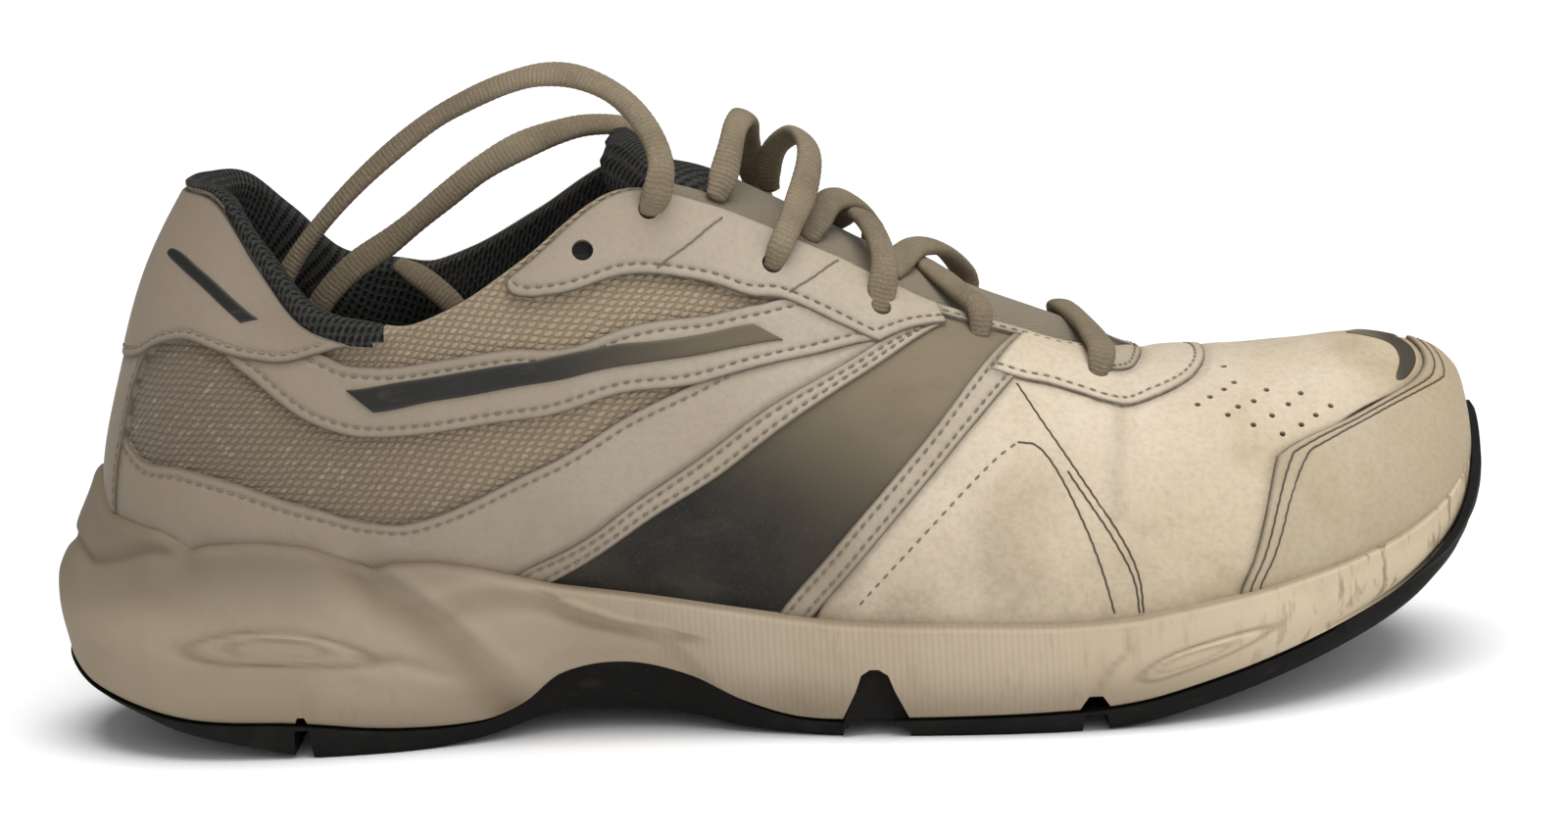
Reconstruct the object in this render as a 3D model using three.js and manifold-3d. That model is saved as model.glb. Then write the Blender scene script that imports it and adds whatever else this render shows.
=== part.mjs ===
// A low lace-up running shoe for the right foot, standing empty on its sole.
// Millimetres, +Z up, the floor at z = 0. +X is the toe, -Y the outer (little toe) side, +Y the inner side.
// The origin is on the floor under the middle of the shoe's box.

import * as THREE from "three";
import { mergeVertices } from "three/addons/utils/BufferGeometryUtils.js";
import Module from "manifold-3d";

const wasm = await Module();
wasm.setup();

// ---------------------------------------------------------------- driving dimensions

const LENGTH = 302; // heel to toe, over everything
const BALL_WIDTH = 103; // across the sole at the ball of the foot
const HEEL_HEIGHT = 118; // floor to the top of the heel tab, padding included
const WALL = 2.5; // leather or mesh with its lining
const COLLAR_PAD = 5; // foam added to the wall at the collar
const GAP = 0.3; // between pieces that touch
const INSOLE_THICKNESS = 4;

const MATERIALS = {
  leather: { color: 0xb9ae9b, roughness: 0.6, metalness: 0 },
  foam: { color: 0xc2b59f, roughness: 0.75, metalness: 0 },
  rubber: { color: 0x17181a, roughness: 0.8, metalness: 0 },
  lining: { color: 0x3d4145, roughness: 0.95, metalness: 0 },
  sockliner: { color: 0x8a8274, roughness: 0.9, metalness: 0 },
  lace: { color: 0x9c8c74, roughness: 0.9, metalness: 0 },
};

// ---------------------------------------------------------------- sections of the last
//
// Stations run from the back of the heel (0) to the tip of the toe. Every section rises from the feather
// line, where the upper goes into the sole, to the top line: the collar, then the edge of the throat, and in
// front of the throat the ridge that both sides share.
//   feather line: share of LENGTH along; shares of BALL_WIDTH to the outer and to the inner side; share of
//                 HEEL_HEIGHT up
//   top line:     share of LENGTH along; half gap as a share of BALL_WIDTH; share of HEEL_HEIGHT up on the
//                 inner side, and how much lower the outer side lies
//   handles:      millimetres out at the feather line, share of the rise up; millimetres out at the top
//                 line, share of the rise down
const SECTIONS = [
  [3.5, 0.0, 0.0, 28.8, 11.3, 0.0, 97.2, 0.0, 1.5, 0.3, 16.5, 0.3],
  [4.8, 13.0, 13.0, 28.8, 11.9, 8.5, 97.4, 0.2, 3.0, 0.3, 13.5, 0.3],
  [8.4, 23.5, 23.0, 28.5, 14.2, 15.5, 96.4, 1.0, 5.0, 0.3, 9.5, 0.32],
  [12.8, 29.0, 28.0, 28.2, 16.8, 22.0, 88.4, 3.0, 6.0, 0.32, 6.5, 0.34],
  [18.0, 31.5, 30.0, 27.5, 20.0, 28.0, 79.0, 4.0, 6.0, 0.34, 3.5, 0.35],
  [23.5, 32.0, 29.5, 26.4, 24.6, 31.5, 76.8, 4.8, 6.0, 0.35, 3.0, 0.35],
  [29.5, 32.0, 28.0, 24.7, 29.2, 32.0, 79.6, 4.8, 6.5, 0.35, 4.0, 0.35],
  [35.5, 32.5, 27.3, 22.7, 34.4, 30.0, 86.4, 3.8, 7.0, 0.35, 7.0, 0.33],
  [41.5, 34.0, 28.0, 20.5, 41.0, 24.0, 95.6, 2.0, 7.5, 0.36, 10.0, 0.28],
  [48.0, 37.0, 30.5, 18.3, 47.4, 20.5, 91.6, 1.8, 6.0, 0.38, 12.5, 0.2],
  [55.0, 40.7, 35.0, 16.4, 54.7, 18.0, 81.6, 1.6, 5.0, 0.4, 14.5, 0.14],
  [62.0, 44.0, 40.5, 15.1, 61.9, 15.5, 71.2, 1.2, 4.0, 0.42, 16.5, 0.1],
  [68.2, 46.0, 45.0, 14.4, 68.4, 13.0, 64.2, 0.8, 4.0, 0.45, 18.5, 0.07],
  [72.8, 46.2, 47.0, 14.6, 72.8, 9.5, 60.2, 0.4, 4.0, 0.47, 22.0, 0.03],
  [75.6, 45.6, 47.4, 15.1, 75.7, 0.0, 58.0, 0.0, 4.0, 0.48, 27.5, 0.0],
  [81.0, 42.6, 46.5, 16.6, 81.2, 0.0, 57.8, 0.0, 4.5, 0.5, 27.5, 0.0],
  [86.8, 36.5, 43.0, 18.9, 86.8, 0.0, 57.8, 0.0, 5.0, 0.52, 25.0, 0.0],
  [92.0, 27.5, 36.0, 22.0, 91.6, 0.0, 57.9, 0.0, 5.0, 0.52, 20.0, 0.0],
  [95.8, 16.0, 26.5, 25.6, 95.8, 0.0, 55.6, 0.0, 4.5, 0.5, 13.0, 0.0],
  [98.0, 5.5, 16.5, 28.6, 98.1, 0.0, 51.2, 0.0, 3.0, 0.45, 6.0, 0.0],
  [98.6, -6.0, 6.0, 30.2, 98.8, 0.0, 46.4, 0.0, 1.2, 0.4, 0.0, 0.0],
];
const LAST = SECTIONS.length - 1;
const COLLAR_FRONT = 8; // the station where the collar turns into the throat
const THROAT_FRONT = 14; // the station where the throat closes
const TOE_SWING = 6; // how far the tip lies to the inner side, as a share of BALL_WIDTH

const OUTER = -1; // the side of the little toe
const INNER = 1;

const clamp = (value, low, high) => Math.min(Math.max(value, low), high);
const mix = (a, b, share) => a + (b - a) * share;
const ease = (share) => {
  const f = clamp(share, 0, 1);
  return f * f * (3 - 2 * f);
};
// A soft hump, 1 at the centre and 0 at `reach` to either side.
const hump = (value, centre, reach) => ease(1 - Math.abs(value - centre) / reach);

// Catmull-Rom through rows of numbers, at a whole or broken row number. `ends` are the rows past both ends.
function between(rows, at, ends) {
  const place = clamp(at, 0, rows.length - 1);
  const i = Math.min(Math.floor(place), rows.length - 2);
  const f = place - i;
  const row = (n) => rows[n] ?? (n < 0 ? ends[0] : ends[1]);
  const [a, b, c, d] = [row(i - 1), row(i), row(i + 1), row(i + 2)];
  return b.map((p, k) => {
    const [p0, p2, p3] = [a[k], c[k], d[k]];
    const linear = p2 - p0;
    const square = 2 * p0 - 5 * p + 4 * p2 - p3;
    const cube = 3 * p - p0 - 3 * p2 + p3;
    return p + 0.5 * (linear * f + square * f * f + cube * f ** 3);
  });
}

// One side's sections in millimetres: feather point, top point, handles.
const inMillimetres = (side) =>
  SECTIONS.map(([fx, outer, inner, fz, tx, gap, tz, drop, out1, up1, out2, down2], station) => [
    (fx / 100 - 0.5) * LENGTH,
    ((side === OUTER ? -outer : inner) / 100) * BALL_WIDTH,
    (fz / 100) * HEEL_HEIGHT,
    (tx / 100 - 0.5) * LENGTH,
    ((side * gap) / 100) * BALL_WIDTH,
    (tz / 100) * HEEL_HEIGHT,
    out1,
    up1,
    out2,
    down2,
    ((Math.max(0, station - THROAT_FRONT) / (LAST - THROAT_FRONT)) * TOE_SWING * BALL_WIDTH) / 100,
    side === OUTER ? (drop / 100) * HEEL_HEIGHT : 0,
  ]);
const SIDES = { [OUTER]: inMillimetres(OUTER), [INNER]: inMillimetres(INNER) };

// A place round the shoe is one signed station: negative on the outer side, positive on the inner side. It
// runs on past the toe tip to the other side, so that the surface is smooth there and at the heel.
const wrap = (place) => {
  if (place > LAST) return place - 2 * LAST;
  return place < -LAST ? place + 2 * LAST : place;
};

function section(place) {
  const s = wrap(place);
  const side = s < 0 ? OUTER : INNER;
  const [rows, others] = [SIDES[side], SIDES[-side]];
  const station = Math.abs(s);
  const ends = [others[1], others[LAST - 1]];
  const [fx, fy, fz, tx, ty, tz, out1, up1, out2, down2, ridge, drop] = between(rows, station, ends);
  const open = station < THROAT_FRONT;
  const gap = open ? Math.max(0, side * ty) : 0;
  return {
    foot: new THREE.Vector3(fx, fy, fz),
    top: new THREE.Vector3(tx, side * gap + ridge, open ? tz - Math.max(0, drop) : tz),
    out1,
    up1,
    out2,
    down2: open ? down2 : 0,
    side,
    station,
  };
}

const STEP = 1e-3; // for slopes, in stations and in shares of the height

// Level direction straight out of the feather line.
function outward(place) {
  const a = section(place - STEP).foot;
  const b = section(place + STEP).foot;
  return new THREE.Vector3(-(b.y - a.y), b.x - a.x, 0).normalize();
}

// One section of the upper, from the feather line to the top line: the control points of a cubic curve.
function profile(place) {
  const { foot, top, out1, up1, out2, down2, side } = section(place);
  const out = outward(place);
  const rise = top.z - foot.z;
  // Round the heel the wall leans out along the feather line's own normal, and further forward sideways.
  const fan = ease((-55 - foot.x) / 45);
  const lean = new THREE.Vector3(0, side, 0).lerp(out, fan).normalize();
  const p1 = foot.clone().addScaledVector(out, out1).setZ(foot.z + rise * up1);
  const p2 = top.clone().addScaledVector(lean, out2).setZ(top.z - rise * down2);
  return [foot, p1, p2, top];
}

// The outer face of the upper at a place round the shoe and a height from 0 to 1.
const skin = (place, height) => new THREE.CubicBezierCurve3(...profile(place)).getPoint(height);

function skinNormal(place, height) {
  const along = skin(place + STEP, height).sub(skin(place - STEP, height));
  const [p0, p1, p2, p3] = profile(place);
  const up = p1.clone().sub(p0).multiplyScalar((1 - height) ** 2);
  up.addScaledVector(p2.clone().sub(p1), 2 * (1 - height) * height);
  up.addScaledVector(p3.clone().sub(p2), height ** 2);
  return up.cross(along).normalize();
}

// Thickness of the upper: padding fills out the collar towards its edge.
function thickness(place, height) {
  const station = Math.abs(wrap(place));
  const padded = ease((COLLAR_FRONT + 0.9 - station) / 1.6);
  return WALL + COLLAR_PAD * padded * hump(height, 0.86, 0.42);
}

// A face at a depth under the skin (negative stands outside it).
const inside = (place, height, depth) =>
  skin(place, height).addScaledVector(skinNormal(place, height), -depth);

// The share of the height at which the skin reaches a level.
function heightAtLevel(place, z) {
  let [low, high] = [0, 0.8];
  for (let i = 0; i < 24; i += 1) {
    const middle = (low + high) / 2;
    if (skin(place, middle).z < z) low = middle;
    else high = middle;
  }
  return (low + high) / 2;
}

// ---------------------------------------------------------------- closed bodies from columns

// Places round the shoe, from the toe tip by the outer side to the heel and back by the inner side. Columns
// are closer where the outline turns.
function placesRound(perStation) {
  const side = [];
  for (let station = 0; station < LAST; station += 1) {
    const tight = station < 3 || station > LAST - 4 || station === THROAT_FRONT - 1;
    const count = tight ? perStation + 1 : perStation;
    for (let k = 0; k < count; k += 1) side.push(station + k / count);
  }
  return [-LAST, ...side.slice(1).reverse().map((s) => -s), ...side];
}

function weld(points, faces) {
  const geometry = new THREE.BufferGeometry();
  const positions = points.flatMap((p) => [p.x, p.y, p.z]);
  geometry.setAttribute("position", new THREE.Float32BufferAttribute(positions, 3));
  geometry.setIndex(faces.flat());
  return closed(geometry);
}

// Merges vertices and drops the triangles that a pole or a shared edge has flattened.
function closed(geometry) {
  geometry.deleteAttribute("normal");
  geometry.deleteAttribute("uv");
  const merged = mergeVertices(geometry, 2e-3);
  const index = merged.index.array;
  const kept = [];
  for (let i = 0; i < index.length; i += 3) {
    const [a, b, c] = [index[i], index[i + 1], index[i + 2]];
    if (a !== b && b !== c && c !== a) kept.push(a, b, c);
  }
  merged.setIndex(kept);
  merged.computeVertexNormals();
  return merged;
}

// Columns of points, each from the middle of the underside round the edge to the middle of the top. The last
// column joins the first, and the first and last rows meet across the middle.
function wrapBody(columns) {
  const rows = columns[0].length;
  const faces = [];
  columns.forEach((_, i) => {
    const j = (i + 1) % columns.length;
    for (let k = 0; k + 1 < rows; k += 1) {
      const [a, b, c, d] = [i * rows + k, j * rows + k, j * rows + k + 1, i * rows + k + 1];
      faces.push([a, c, b], [a, d, c]);
    }
  });
  return weld(columns.flat(), faces);
}

const toSolid = (geometry) =>
  new wasm.Manifold(
    new wasm.Mesh({
      numProp: 3,
      vertProperties: new Float32Array(geometry.attributes.position.array),
      triVerts: new Uint32Array(geometry.index.array),
    }),
  );

function toGeometry(solid) {
  const mesh = solid.getMesh();
  const geometry = new THREE.BufferGeometry();
  geometry.setAttribute("position", new THREE.Float32BufferAttribute(mesh.vertProperties, 3));
  geometry.setIndex(Array.from(mesh.triVerts));
  return closed(geometry);
}

// ---------------------------------------------------------------- upper

const COLUMNS = placesRound(2);
const SKIN_ROWS = [0, 0.07, 0.16, 0.28, 0.42, 0.57, 0.71, 0.84, 0.93, 1];
const LINING_ROWS = [1, 0.93, 0.84, 0.7, 0.52, 0.3, 0.12, 0];
const ROLL = 2.6; // how far the padded roll stands above the edge of the leather

function upperGeometry() {
  const columns = COLUMNS.map((place) => {
    const station = Math.abs(place);
    const outer = SKIN_ROWS.map((height) => skin(place, height));
    const open = station < THROAT_FRONT;
    const inner = LINING_ROWS.map((height) => {
      const at = height === 1 && !open ? station : place; // both sides share the ridge
      return inside(at, height, thickness(at, height));
    });
    inner.at(-1).z = outer[0].z;
    const edge = outer.at(-1);
    const crest = edge.clone().lerp(inner[0], 0.5);
    crest.z = Math.max(edge.z, inner[0].z) + ROLL * ease((COLLAR_FRONT + 0.9 - station) / 1.6);
    return { open, points: [...outer, crest, ...inner] };
  });
  const rows = columns[0].points.length;
  const crestRow = SKIN_ROWS.length;
  const faces = [];
  columns.forEach((column, i) => {
    const j = (i + 1) % columns.length;
    for (let k = 0; k < rows; k += 1) {
      const onRim = k === crestRow - 1 || k === crestRow;
      if (onRim && !column.open && !columns[j].open) continue;
      const next = (k + 1) % rows;
      const [a, b, c, d] = [i * rows + k, j * rows + k, j * rows + next, i * rows + next];
      faces.push([a, c, b], [a, d, c]);
    }
  });
  return weld(columns.flatMap((column) => column.points), faces);
}

// ---------------------------------------------------------------- sole

// A smooth curve of height over length, through points given in millimetres.
function rail(points) {
  const slope = (i) => {
    const a = points[Math.max(0, i - 1)];
    const b = points[Math.min(points.length - 1, i + 1)];
    return (b[1] - a[1]) / (b[0] - a[0]);
  };
  return (x) => {
    const at = clamp(x, points[0][0], points.at(-1)[0]);
    const i = Math.min(Math.max(0, points.findIndex((p) => p[0] > at) - 1), points.length - 2);
    const n = at >= points.at(-1)[0] ? points.length - 2 : i;
    const [[x0, z0], [x1, z1]] = [points[n], points[n + 1]];
    const span = x1 - x0;
    const f = (at - x0) / span;
    const bend = slope(n) * span * f * (1 - f) ** 2 - slope(n + 1) * span * f * f * (1 - f);
    return mix(z0, z1, ease(f)) + bend;
  };
}

// Underside of the foam: heel bevel, heel, high arch, forefoot, toe spring.
const FOAM_UNDER = rail([
  [-151, 20], [-142, 14.5], [-122, 9], [-99, 7.5], [-80, 5.2], [-62, 5.2], [-53, 8.2], [-45, 13.8],
  [-32, 15.6], [-19, 12.6], [-8, 7.2], [4, 3.9], [24, 3.8], [54, 4.4], [70, 5.6], [88, 9.3], [108, 14.6],
  [126, 20.4], [138, 25.6], [147, 31],
]);
// Underside of the rubber. It dips just under the floor where the floor plane then trims it flat.
const RUBBER_UNDER = rail([
  [-151, 17.4], [-140, 13], [-124, 6.4], [-108, 2.6], [-95, 0], [-84, -0.5], [-73, 0], [-60, 1.7], [-48, 4.6],
  [-38, 4.8], [-20, 3.6], [-8, 1.4], [8, 0], [20, -0.5], [40, -0.5], [54, 0], [70, 0.9], [88, 4.5],
  [108, 9.8], [126, 15.6], [138, 20.8], [147, 27.6],
]);

// Rows by station: rim height on the outer and on the inner side; how far the foam stands out past the
// feather line at its bottom edge, belly, waist and rim; how far the rubber is tucked in under the foam's
// edge; and the share of the foam's wall that the rubber toe guard covers.
const SOLE = [
  [57.5, 57.5, 10.0, 11.4, 7.2, 1.8, 0, 0],
  [52.0, 52.0, 9.6, 10.8, 7.0, 2.4, 0, 0],
  [48.0, 48.0, 7.6, 9.2, 6.6, 3.6, 0, 0],
  [46.0, 46.0, 5.6, 7.4, 6.4, 4.8, 0, 0],
  [44.2, 44.2, 4.2, 6.4, 6.4, 5.4, 0, 0],
  [40.0, 41.5, 3.0, 5.6, 6.2, 5.2, 0, 0],
  [36.0, 39.0, 1.0, 4.4, 5.6, 5.0, 1.0, 0],
  [32.5, 36.0, -1.0, 2.8, 4.6, 4.8, 3.5, 0],
  [29.7, 32.5, -1.0, 2.4, 4.2, 4.6, 3.5, 0],
  [26.6, 29.0, 0.5, 3.2, 4.2, 4.2, 1.0, 0],
  [23.8, 25.6, 2.0, 4.2, 4.6, 4.0, 0, 0],
  [22.9, 24.4, 2.6, 4.6, 4.8, 4.0, 0, 0],
  [22.2, 24.0, 2.8, 4.8, 4.8, 3.8, 0, 0],
  [22.6, 24.3, 2.8, 4.8, 4.8, 3.8, 0, 0],
  [23.6, 25.0, 2.6, 4.6, 4.8, 3.8, 0, 0],
  [25.6, 26.8, 2.2, 4.4, 4.6, 3.6, 0, 0],
  [28.6, 29.8, 1.6, 4.0, 4.4, 3.4, 0, 0],
  [32.6, 33.6, 1.0, 3.6, 4.0, 3.0, 0, 0.1],
  [37.6, 38.4, 0.2, 2.4, 3.0, 2.5, 0, 0.4],
  [44.0, 44.6, -0.8, 1.2, 2.0, 1.8, 0, 0.88],
  [49.8, 49.8, -1.4, 0.6, 1.4, 1.4, 0, 1.12],
];
const BEVEL = 1.4; // the rubber's bottom edge lies this far inside its top edge
const SOLE_GAP = 0.4; // between the curved undersides
const GUARD_THICKNESS = 1.8;
const GUARD_CLEAR = 0.3; // spare room behind the guard where the foam bulges

function soleRow(place) {
  const row = between(SOLE, Math.abs(wrap(place)), [SOLE[1], SOLE[LAST - 1]]);
  const [rimOuter, rimInner, edge, belly, waist, rim, tuck, guard] = row;
  return {
    rimZ: wrap(place) < 0 ? rimOuter : rimInner,
    outs: [edge, belly, waist, rim],
    tuck: Math.max(0, tuck),
    guard: Math.abs(wrap(place)) < LAST - 4 ? 0 : Math.max(0, guard),
  };
}

const outFrom = (place, distance) => section(place).foot.addScaledVector(outward(place), distance);

// The foam's side wall, from its bottom edge (0) to its rim (1), `grow` outside itself.
function foamWall(place, share, grow = 0) {
  const { rimZ, outs } = soleRow(place);
  const bulges = outs.map((out) => [out]);
  const [out] = between(bulges, share * (outs.length - 1), [bulges[0], bulges.at(-1)]);
  const bottom = FOAM_UNDER(outFrom(place, outs[0]).x);
  return outFrom(place, out + grow).setZ(mix(bottom, rimZ, share));
}

// Level of the feather line over the length, which the footbed follows.
const BED = rail(SECTIONS.map(([fx, , , fz]) => [(fx / 100 - 0.5) * LENGTH, (fz / 100) * HEEL_HEIGHT]));

// The middle line that the underside and the footbed run in to. It stops short of the heel and the toe.
function middle(place, above = 0) {
  const { foot, station, side } = section(place);
  const across = section(-side * station).foot;
  const x = clamp(foot.x, -112, 134);
  return new THREE.Vector3(x, ((foot.y + across.y) / 2) * ease((foot.x + 130) / 30), BED(x) + above);
}

const IN_SHARES = [0, 0.34, 0.68, 1]; // from the middle line out to the edge
const underside = (place, edge, level) =>
  IN_SHARES.map((share) => {
    const point = middle(place).lerp(edge, share);
    return point.setZ(level(point.x));
  });

const CUP_ROWS = [1, 0.66, 0.33, 0];
const BED_RING = 5; // the footbed is level this far in from the feather line

function midsoleBody() {
  return wrapBody(
    COLUMNS.map((place) => {
      const rimHeight = heightAtLevel(place, soleRow(place).rimZ);
      const bed = section(place).foot.z - GAP;
      const cup = CUP_ROWS.map((share) => inside(place, rimHeight * share, -GAP));
      cup.at(-1).z = bed;
      return [
        ...underside(place, foamWall(place, 0), FOAM_UNDER),
        ...[0.2, 0.42, 0.62, 0.82, 1].map((share) => foamWall(place, share)),
        ...cup,
        outFrom(place, -BED_RING).setZ(bed),
        middle(place, -GAP),
      ];
    }),
  );
}

function outsoleBody() {
  return wrapBody(
    COLUMNS.map((place) => {
      const { outs, tuck, guard } = soleRow(place);
      const wrapped = ease(guard / 0.3);
      const thick = GUARD_THICKNESS * wrapped;
      const edge = outFrom(place, outs[0] - tuck - BEVEL);
      edge.z = RUBBER_UNDER(edge.x);
      const corner = outFrom(place, outs[0] - tuck + GAP + thick);
      corner.z = FOAM_UNDER(outFrom(place, outs[0]).x) - SOLE_GAP;
      const side = edge.clone().lerp(corner, 0.5).addScaledVector(outward(place), 0.5);
      const climb = (share, grow) => {
        const point = foamWall(place, guard * share, GAP + grow - tuck);
        return guard > 0 ? point : point.setZ(corner.z);
      };
      const top = underside(place, foamWall(place, 0), (x) => FOAM_UNDER(x) - SOLE_GAP);
      top[top.length - 1] = outFrom(place, outs[0] - tuck + GAP).setZ(corner.z);
      return [
        ...underside(place, edge, RUBBER_UNDER),
        side,
        corner,
        ...[0.5, 1].map((share) => climb(share, thick)),
        ...[1, 0.75, 0.5, 0.25].map((share) => climb(share, GUARD_CLEAR * wrapped * (1 - share))),
        ...top.reverse(),
      ];
    }),
  );
}

// A bar across the shoe, with its outline in x and z.
function across(outline, yFrom, yTo) {
  const shape = new THREE.Shape(outline.map(([x, z]) => new THREE.Vector2(x, z)));
  const geometry = new THREE.ExtrudeGeometry(shape, { depth: yTo - yFrom, bevelEnabled: false });
  geometry.rotateX(Math.PI / 2);
  geometry.translate(0, yTo, 0);
  return toSolid(closed(geometry));
}

const REACH = 70; // past both sides of the sole
const RIB_X = 18.2; // the deep flex slot under the ball of the foot, filled by a rib of the rubber

// Half of an arch's outline mirrored about its middle.
const arch = (x, half) => [
  ...half.map(([dx, z]) => [x + dx, z]),
  ...half.toReversed().map(([dx, z]) => [x - dx, z]),
];
const slot = (grow) =>
  arch(RIB_X, [
    [7 + grow, 2],
    [6.2 + grow, 4.2],
    [3.6 + grow, 10],
    [2.4 + grow, 13.4],
    [0.9, 14.3 + grow],
  ]);

function midsoleGeometry() {
  return toGeometry(toSolid(midsoleBody()).subtract(across(slot(GAP), -REACH, REACH)));
}

// Flex grooves between the main lugs: place along, half width, depth up from the floor, reach to both sides.
const GROOVES = [
  [-118, 1.6, 6.2, 26],
  [-98, 1.2, 5.4, REACH],
  [-82, 1.6, 2.6, 26],
  [38, 1.6, 2.2, 36],
  [61.6, 1.8, 3.6, REACH],
  [80, 1.6, 4.6, 38],
  [98, 1.6, 8.8, 32],
];

function outsoleGeometry() {
  let sole = toSolid(outsoleBody());
  sole = sole.add(across(slot(0), -44, 46));
  sole = sole.subtract(across([[-200, -20], [200, -20], [200, 0], [-200, 0]], -REACH, REACH));
  sole = sole.subtract(across(arch(RIB_X, [[7.4, -5], [6.6, 1.4], [4.6, 3.1], [1.6, 3.8]]), -REACH, REACH));
  GROOVES.forEach(([x, half, depth, reach]) => {
    sole = sole.subtract(across(arch(x, [[half, -5], [half * 0.6, depth]]), -reach, reach));
  });
  return toGeometry(sole);
}

// ---------------------------------------------------------------- insole and tongue

const INSOLE_CLEAR = 3.3; // from the feather line in to the insole's edge: the wall and a gap

function insoleGeometry() {
  return wrapBody(
    COLUMNS.map((place) => {
      const edge = outFrom(place, -INSOLE_CLEAR);
      const level = section(place).foot.z;
      return [
        middle(place),
        outFrom(place, -BED_RING).setZ(level),
        edge.clone().setZ(level),
        edge.clone().addScaledVector(outward(place), 0.2).setZ(level + INSOLE_THICKNESS * 0.8),
        edge.clone().addScaledVector(outward(place), -1.2).setZ(level + INSOLE_THICKNESS),
        middle(place, INSOLE_THICKNESS),
      ];
    }),
  );
}

// Stations of the tongue from its front end, stitched under the vamp, to where it leaves the throat.
const TONGUE_STATIONS = [13.7, 13, 12.2, 11.4, 10.6, 9.8, 9, 8.5];
// Its free end past that: how far on, and how wide against the last section under the laces.
const TONGUE_END = [
  [4, 0.95],
  [8, 0.88],
  [11, 0.76],
  [13, 0.56],
];
const TONGUE_FLESH = [2.2, 4.2]; // half thickness at the front end and at the top
const TONGUE_CLEAR = 1; // between the tongue and the lining over it

function tongueGeometry() {
  const half = (k) => mix(TONGUE_FLESH[0], TONGUE_FLESH[1], k / (TONGUE_STATIONS.length - 1));
  const sections = TONGUE_STATIONS.map((station, k) => {
    const under = (side, height) =>
      inside(side * station, height, thickness(side * station, height) + TONGUE_CLEAR + half(k));
    const outer = [0.86, 0.93, 0.99].map((height) => under(OUTER, height));
    const inner = [0.99, 0.93, 0.86].map((height) => under(INNER, height));
    const crown = outer[2].clone().lerp(inner[0], 0.5);
    crown.z += 1.5;
    return [...outer, crown, ...inner];
  });
  const last = sections.at(-1);
  const centre = last[3];
  const onward = new THREE.Vector3(-0.74, 0, 0.67);
  TONGUE_END.forEach(([on, width]) => {
    const narrow = new THREE.Vector3(1, width, width);
    const moved = (p) => p.clone().sub(centre).multiply(narrow).add(centre).addScaledVector(onward, on);
    sections.push(last.map(moved));
  });
  const count = 10;
  const rows = sections.map((points) => new THREE.CatmullRomCurve3(points).getPoints(count));
  // Skins above and below the middle surface meet at its edges.
  const skins = [1, -1].map((face) =>
    rows.map((row, r) =>
      row.map((p, k) => {
        const along = rows[Math.min(r + 1, rows.length - 1)][k].clone().sub(rows[Math.max(r - 1, 0)][k]);
        const over = row[Math.min(k + 1, count)].clone().sub(row[Math.max(k - 1, 0)]);
        const normal = over.cross(along).normalize();
        const fromEdge = Math.min(k, count - k);
        const fromEnd = rows.length - r;
        const swell = Math.min(1, 0.8 * fromEdge) * Math.min(1, 0.4 * fromEnd);
        const thick = half(Math.min(r, TONGUE_STATIONS.length - 1));
        return p.clone().addScaledVector(normal, face * thick * swell);
      }),
    ),
  );
  const width = count + 1;
  const faces = [];
  const quad = (a, b, c, d) => faces.push([a, b, c], [a, c, d]);
  for (let r = 0; r + 1 < rows.length; r += 1) {
    for (let k = 0; k < count; k += 1) {
      const [a, b, c, d] = [r * width + k, r * width + k + 1, (r + 1) * width + k + 1, (r + 1) * width + k];
      quad(a, b, c, d);
      const below = rows.length * width;
      quad(below + a, below + d, below + c, below + b);
    }
  }
  // Both ends are blunt.
  const below = rows.length * width;
  const end = below - width;
  for (let k = 0; k < count; k += 1) {
    quad(k, below + k, below + k + 1, k + 1);
    quad(end + k, end + k + 1, below + end + k + 1, below + end + k);
  }
  return weld(skins.flat(2), faces);
}

// ---------------------------------------------------------------- laces
// A flat woven lace, loose from years of being slipped on and off. Its routes are lists of points down its
// middle. Every end stands just clear of the leather over its punched hole.

const LACE_RADIUS = 2;
const LACE_SIDES = 8;
const LOOP_STEPS = 10;
const END_STEPS = 25;

function laceGeometry(points, steps) {
  const section = new THREE.Shape();
  for (let k = 0; k < LACE_SIDES; k += 1) {
    const angle = (2 * Math.PI * k) / LACE_SIDES;
    const [x, y] = [LACE_RADIUS * Math.cos(angle), LACE_RADIUS * Math.sin(angle)];
    if (k === 0) section.moveTo(x, y);
    else section.lineTo(x, y);
  }
  const vectors = points.map((p) => new THREE.Vector3(...p));
  const extrudePath = new THREE.CatmullRomCurve3(vectors, false, "centripetal");
  return closed(new THREE.ExtrudeGeometry(section, { steps, extrudePath }));
}

// The end from the outer side's top hole arches over the collar and drops inside the heel.
const END_OUTER = [
  [-20.9, -28.2, 107.6], [-19, -28.4, 111], [-18.2, -27, 115.5], [-20, -23.5, 121.5], [-26, -18, 128.8],
  [-34.2, -14, 133], [-41.3, -12, 133.9], [-48.5, -10, 132.6], [-56.9, -9, 129.6], [-65.8, -8, 125.2],
  [-80.5, -8, 114.4], [-93, -6.5, 102], [-99.5, -6.5, 92.5], [-104, -8, 80], [-104.5, -10, 67],
  [-101, -12, 54.5], [-92, -14, 45], [-80, -15, 42], [-70, -15, 41.5],
];
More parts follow.
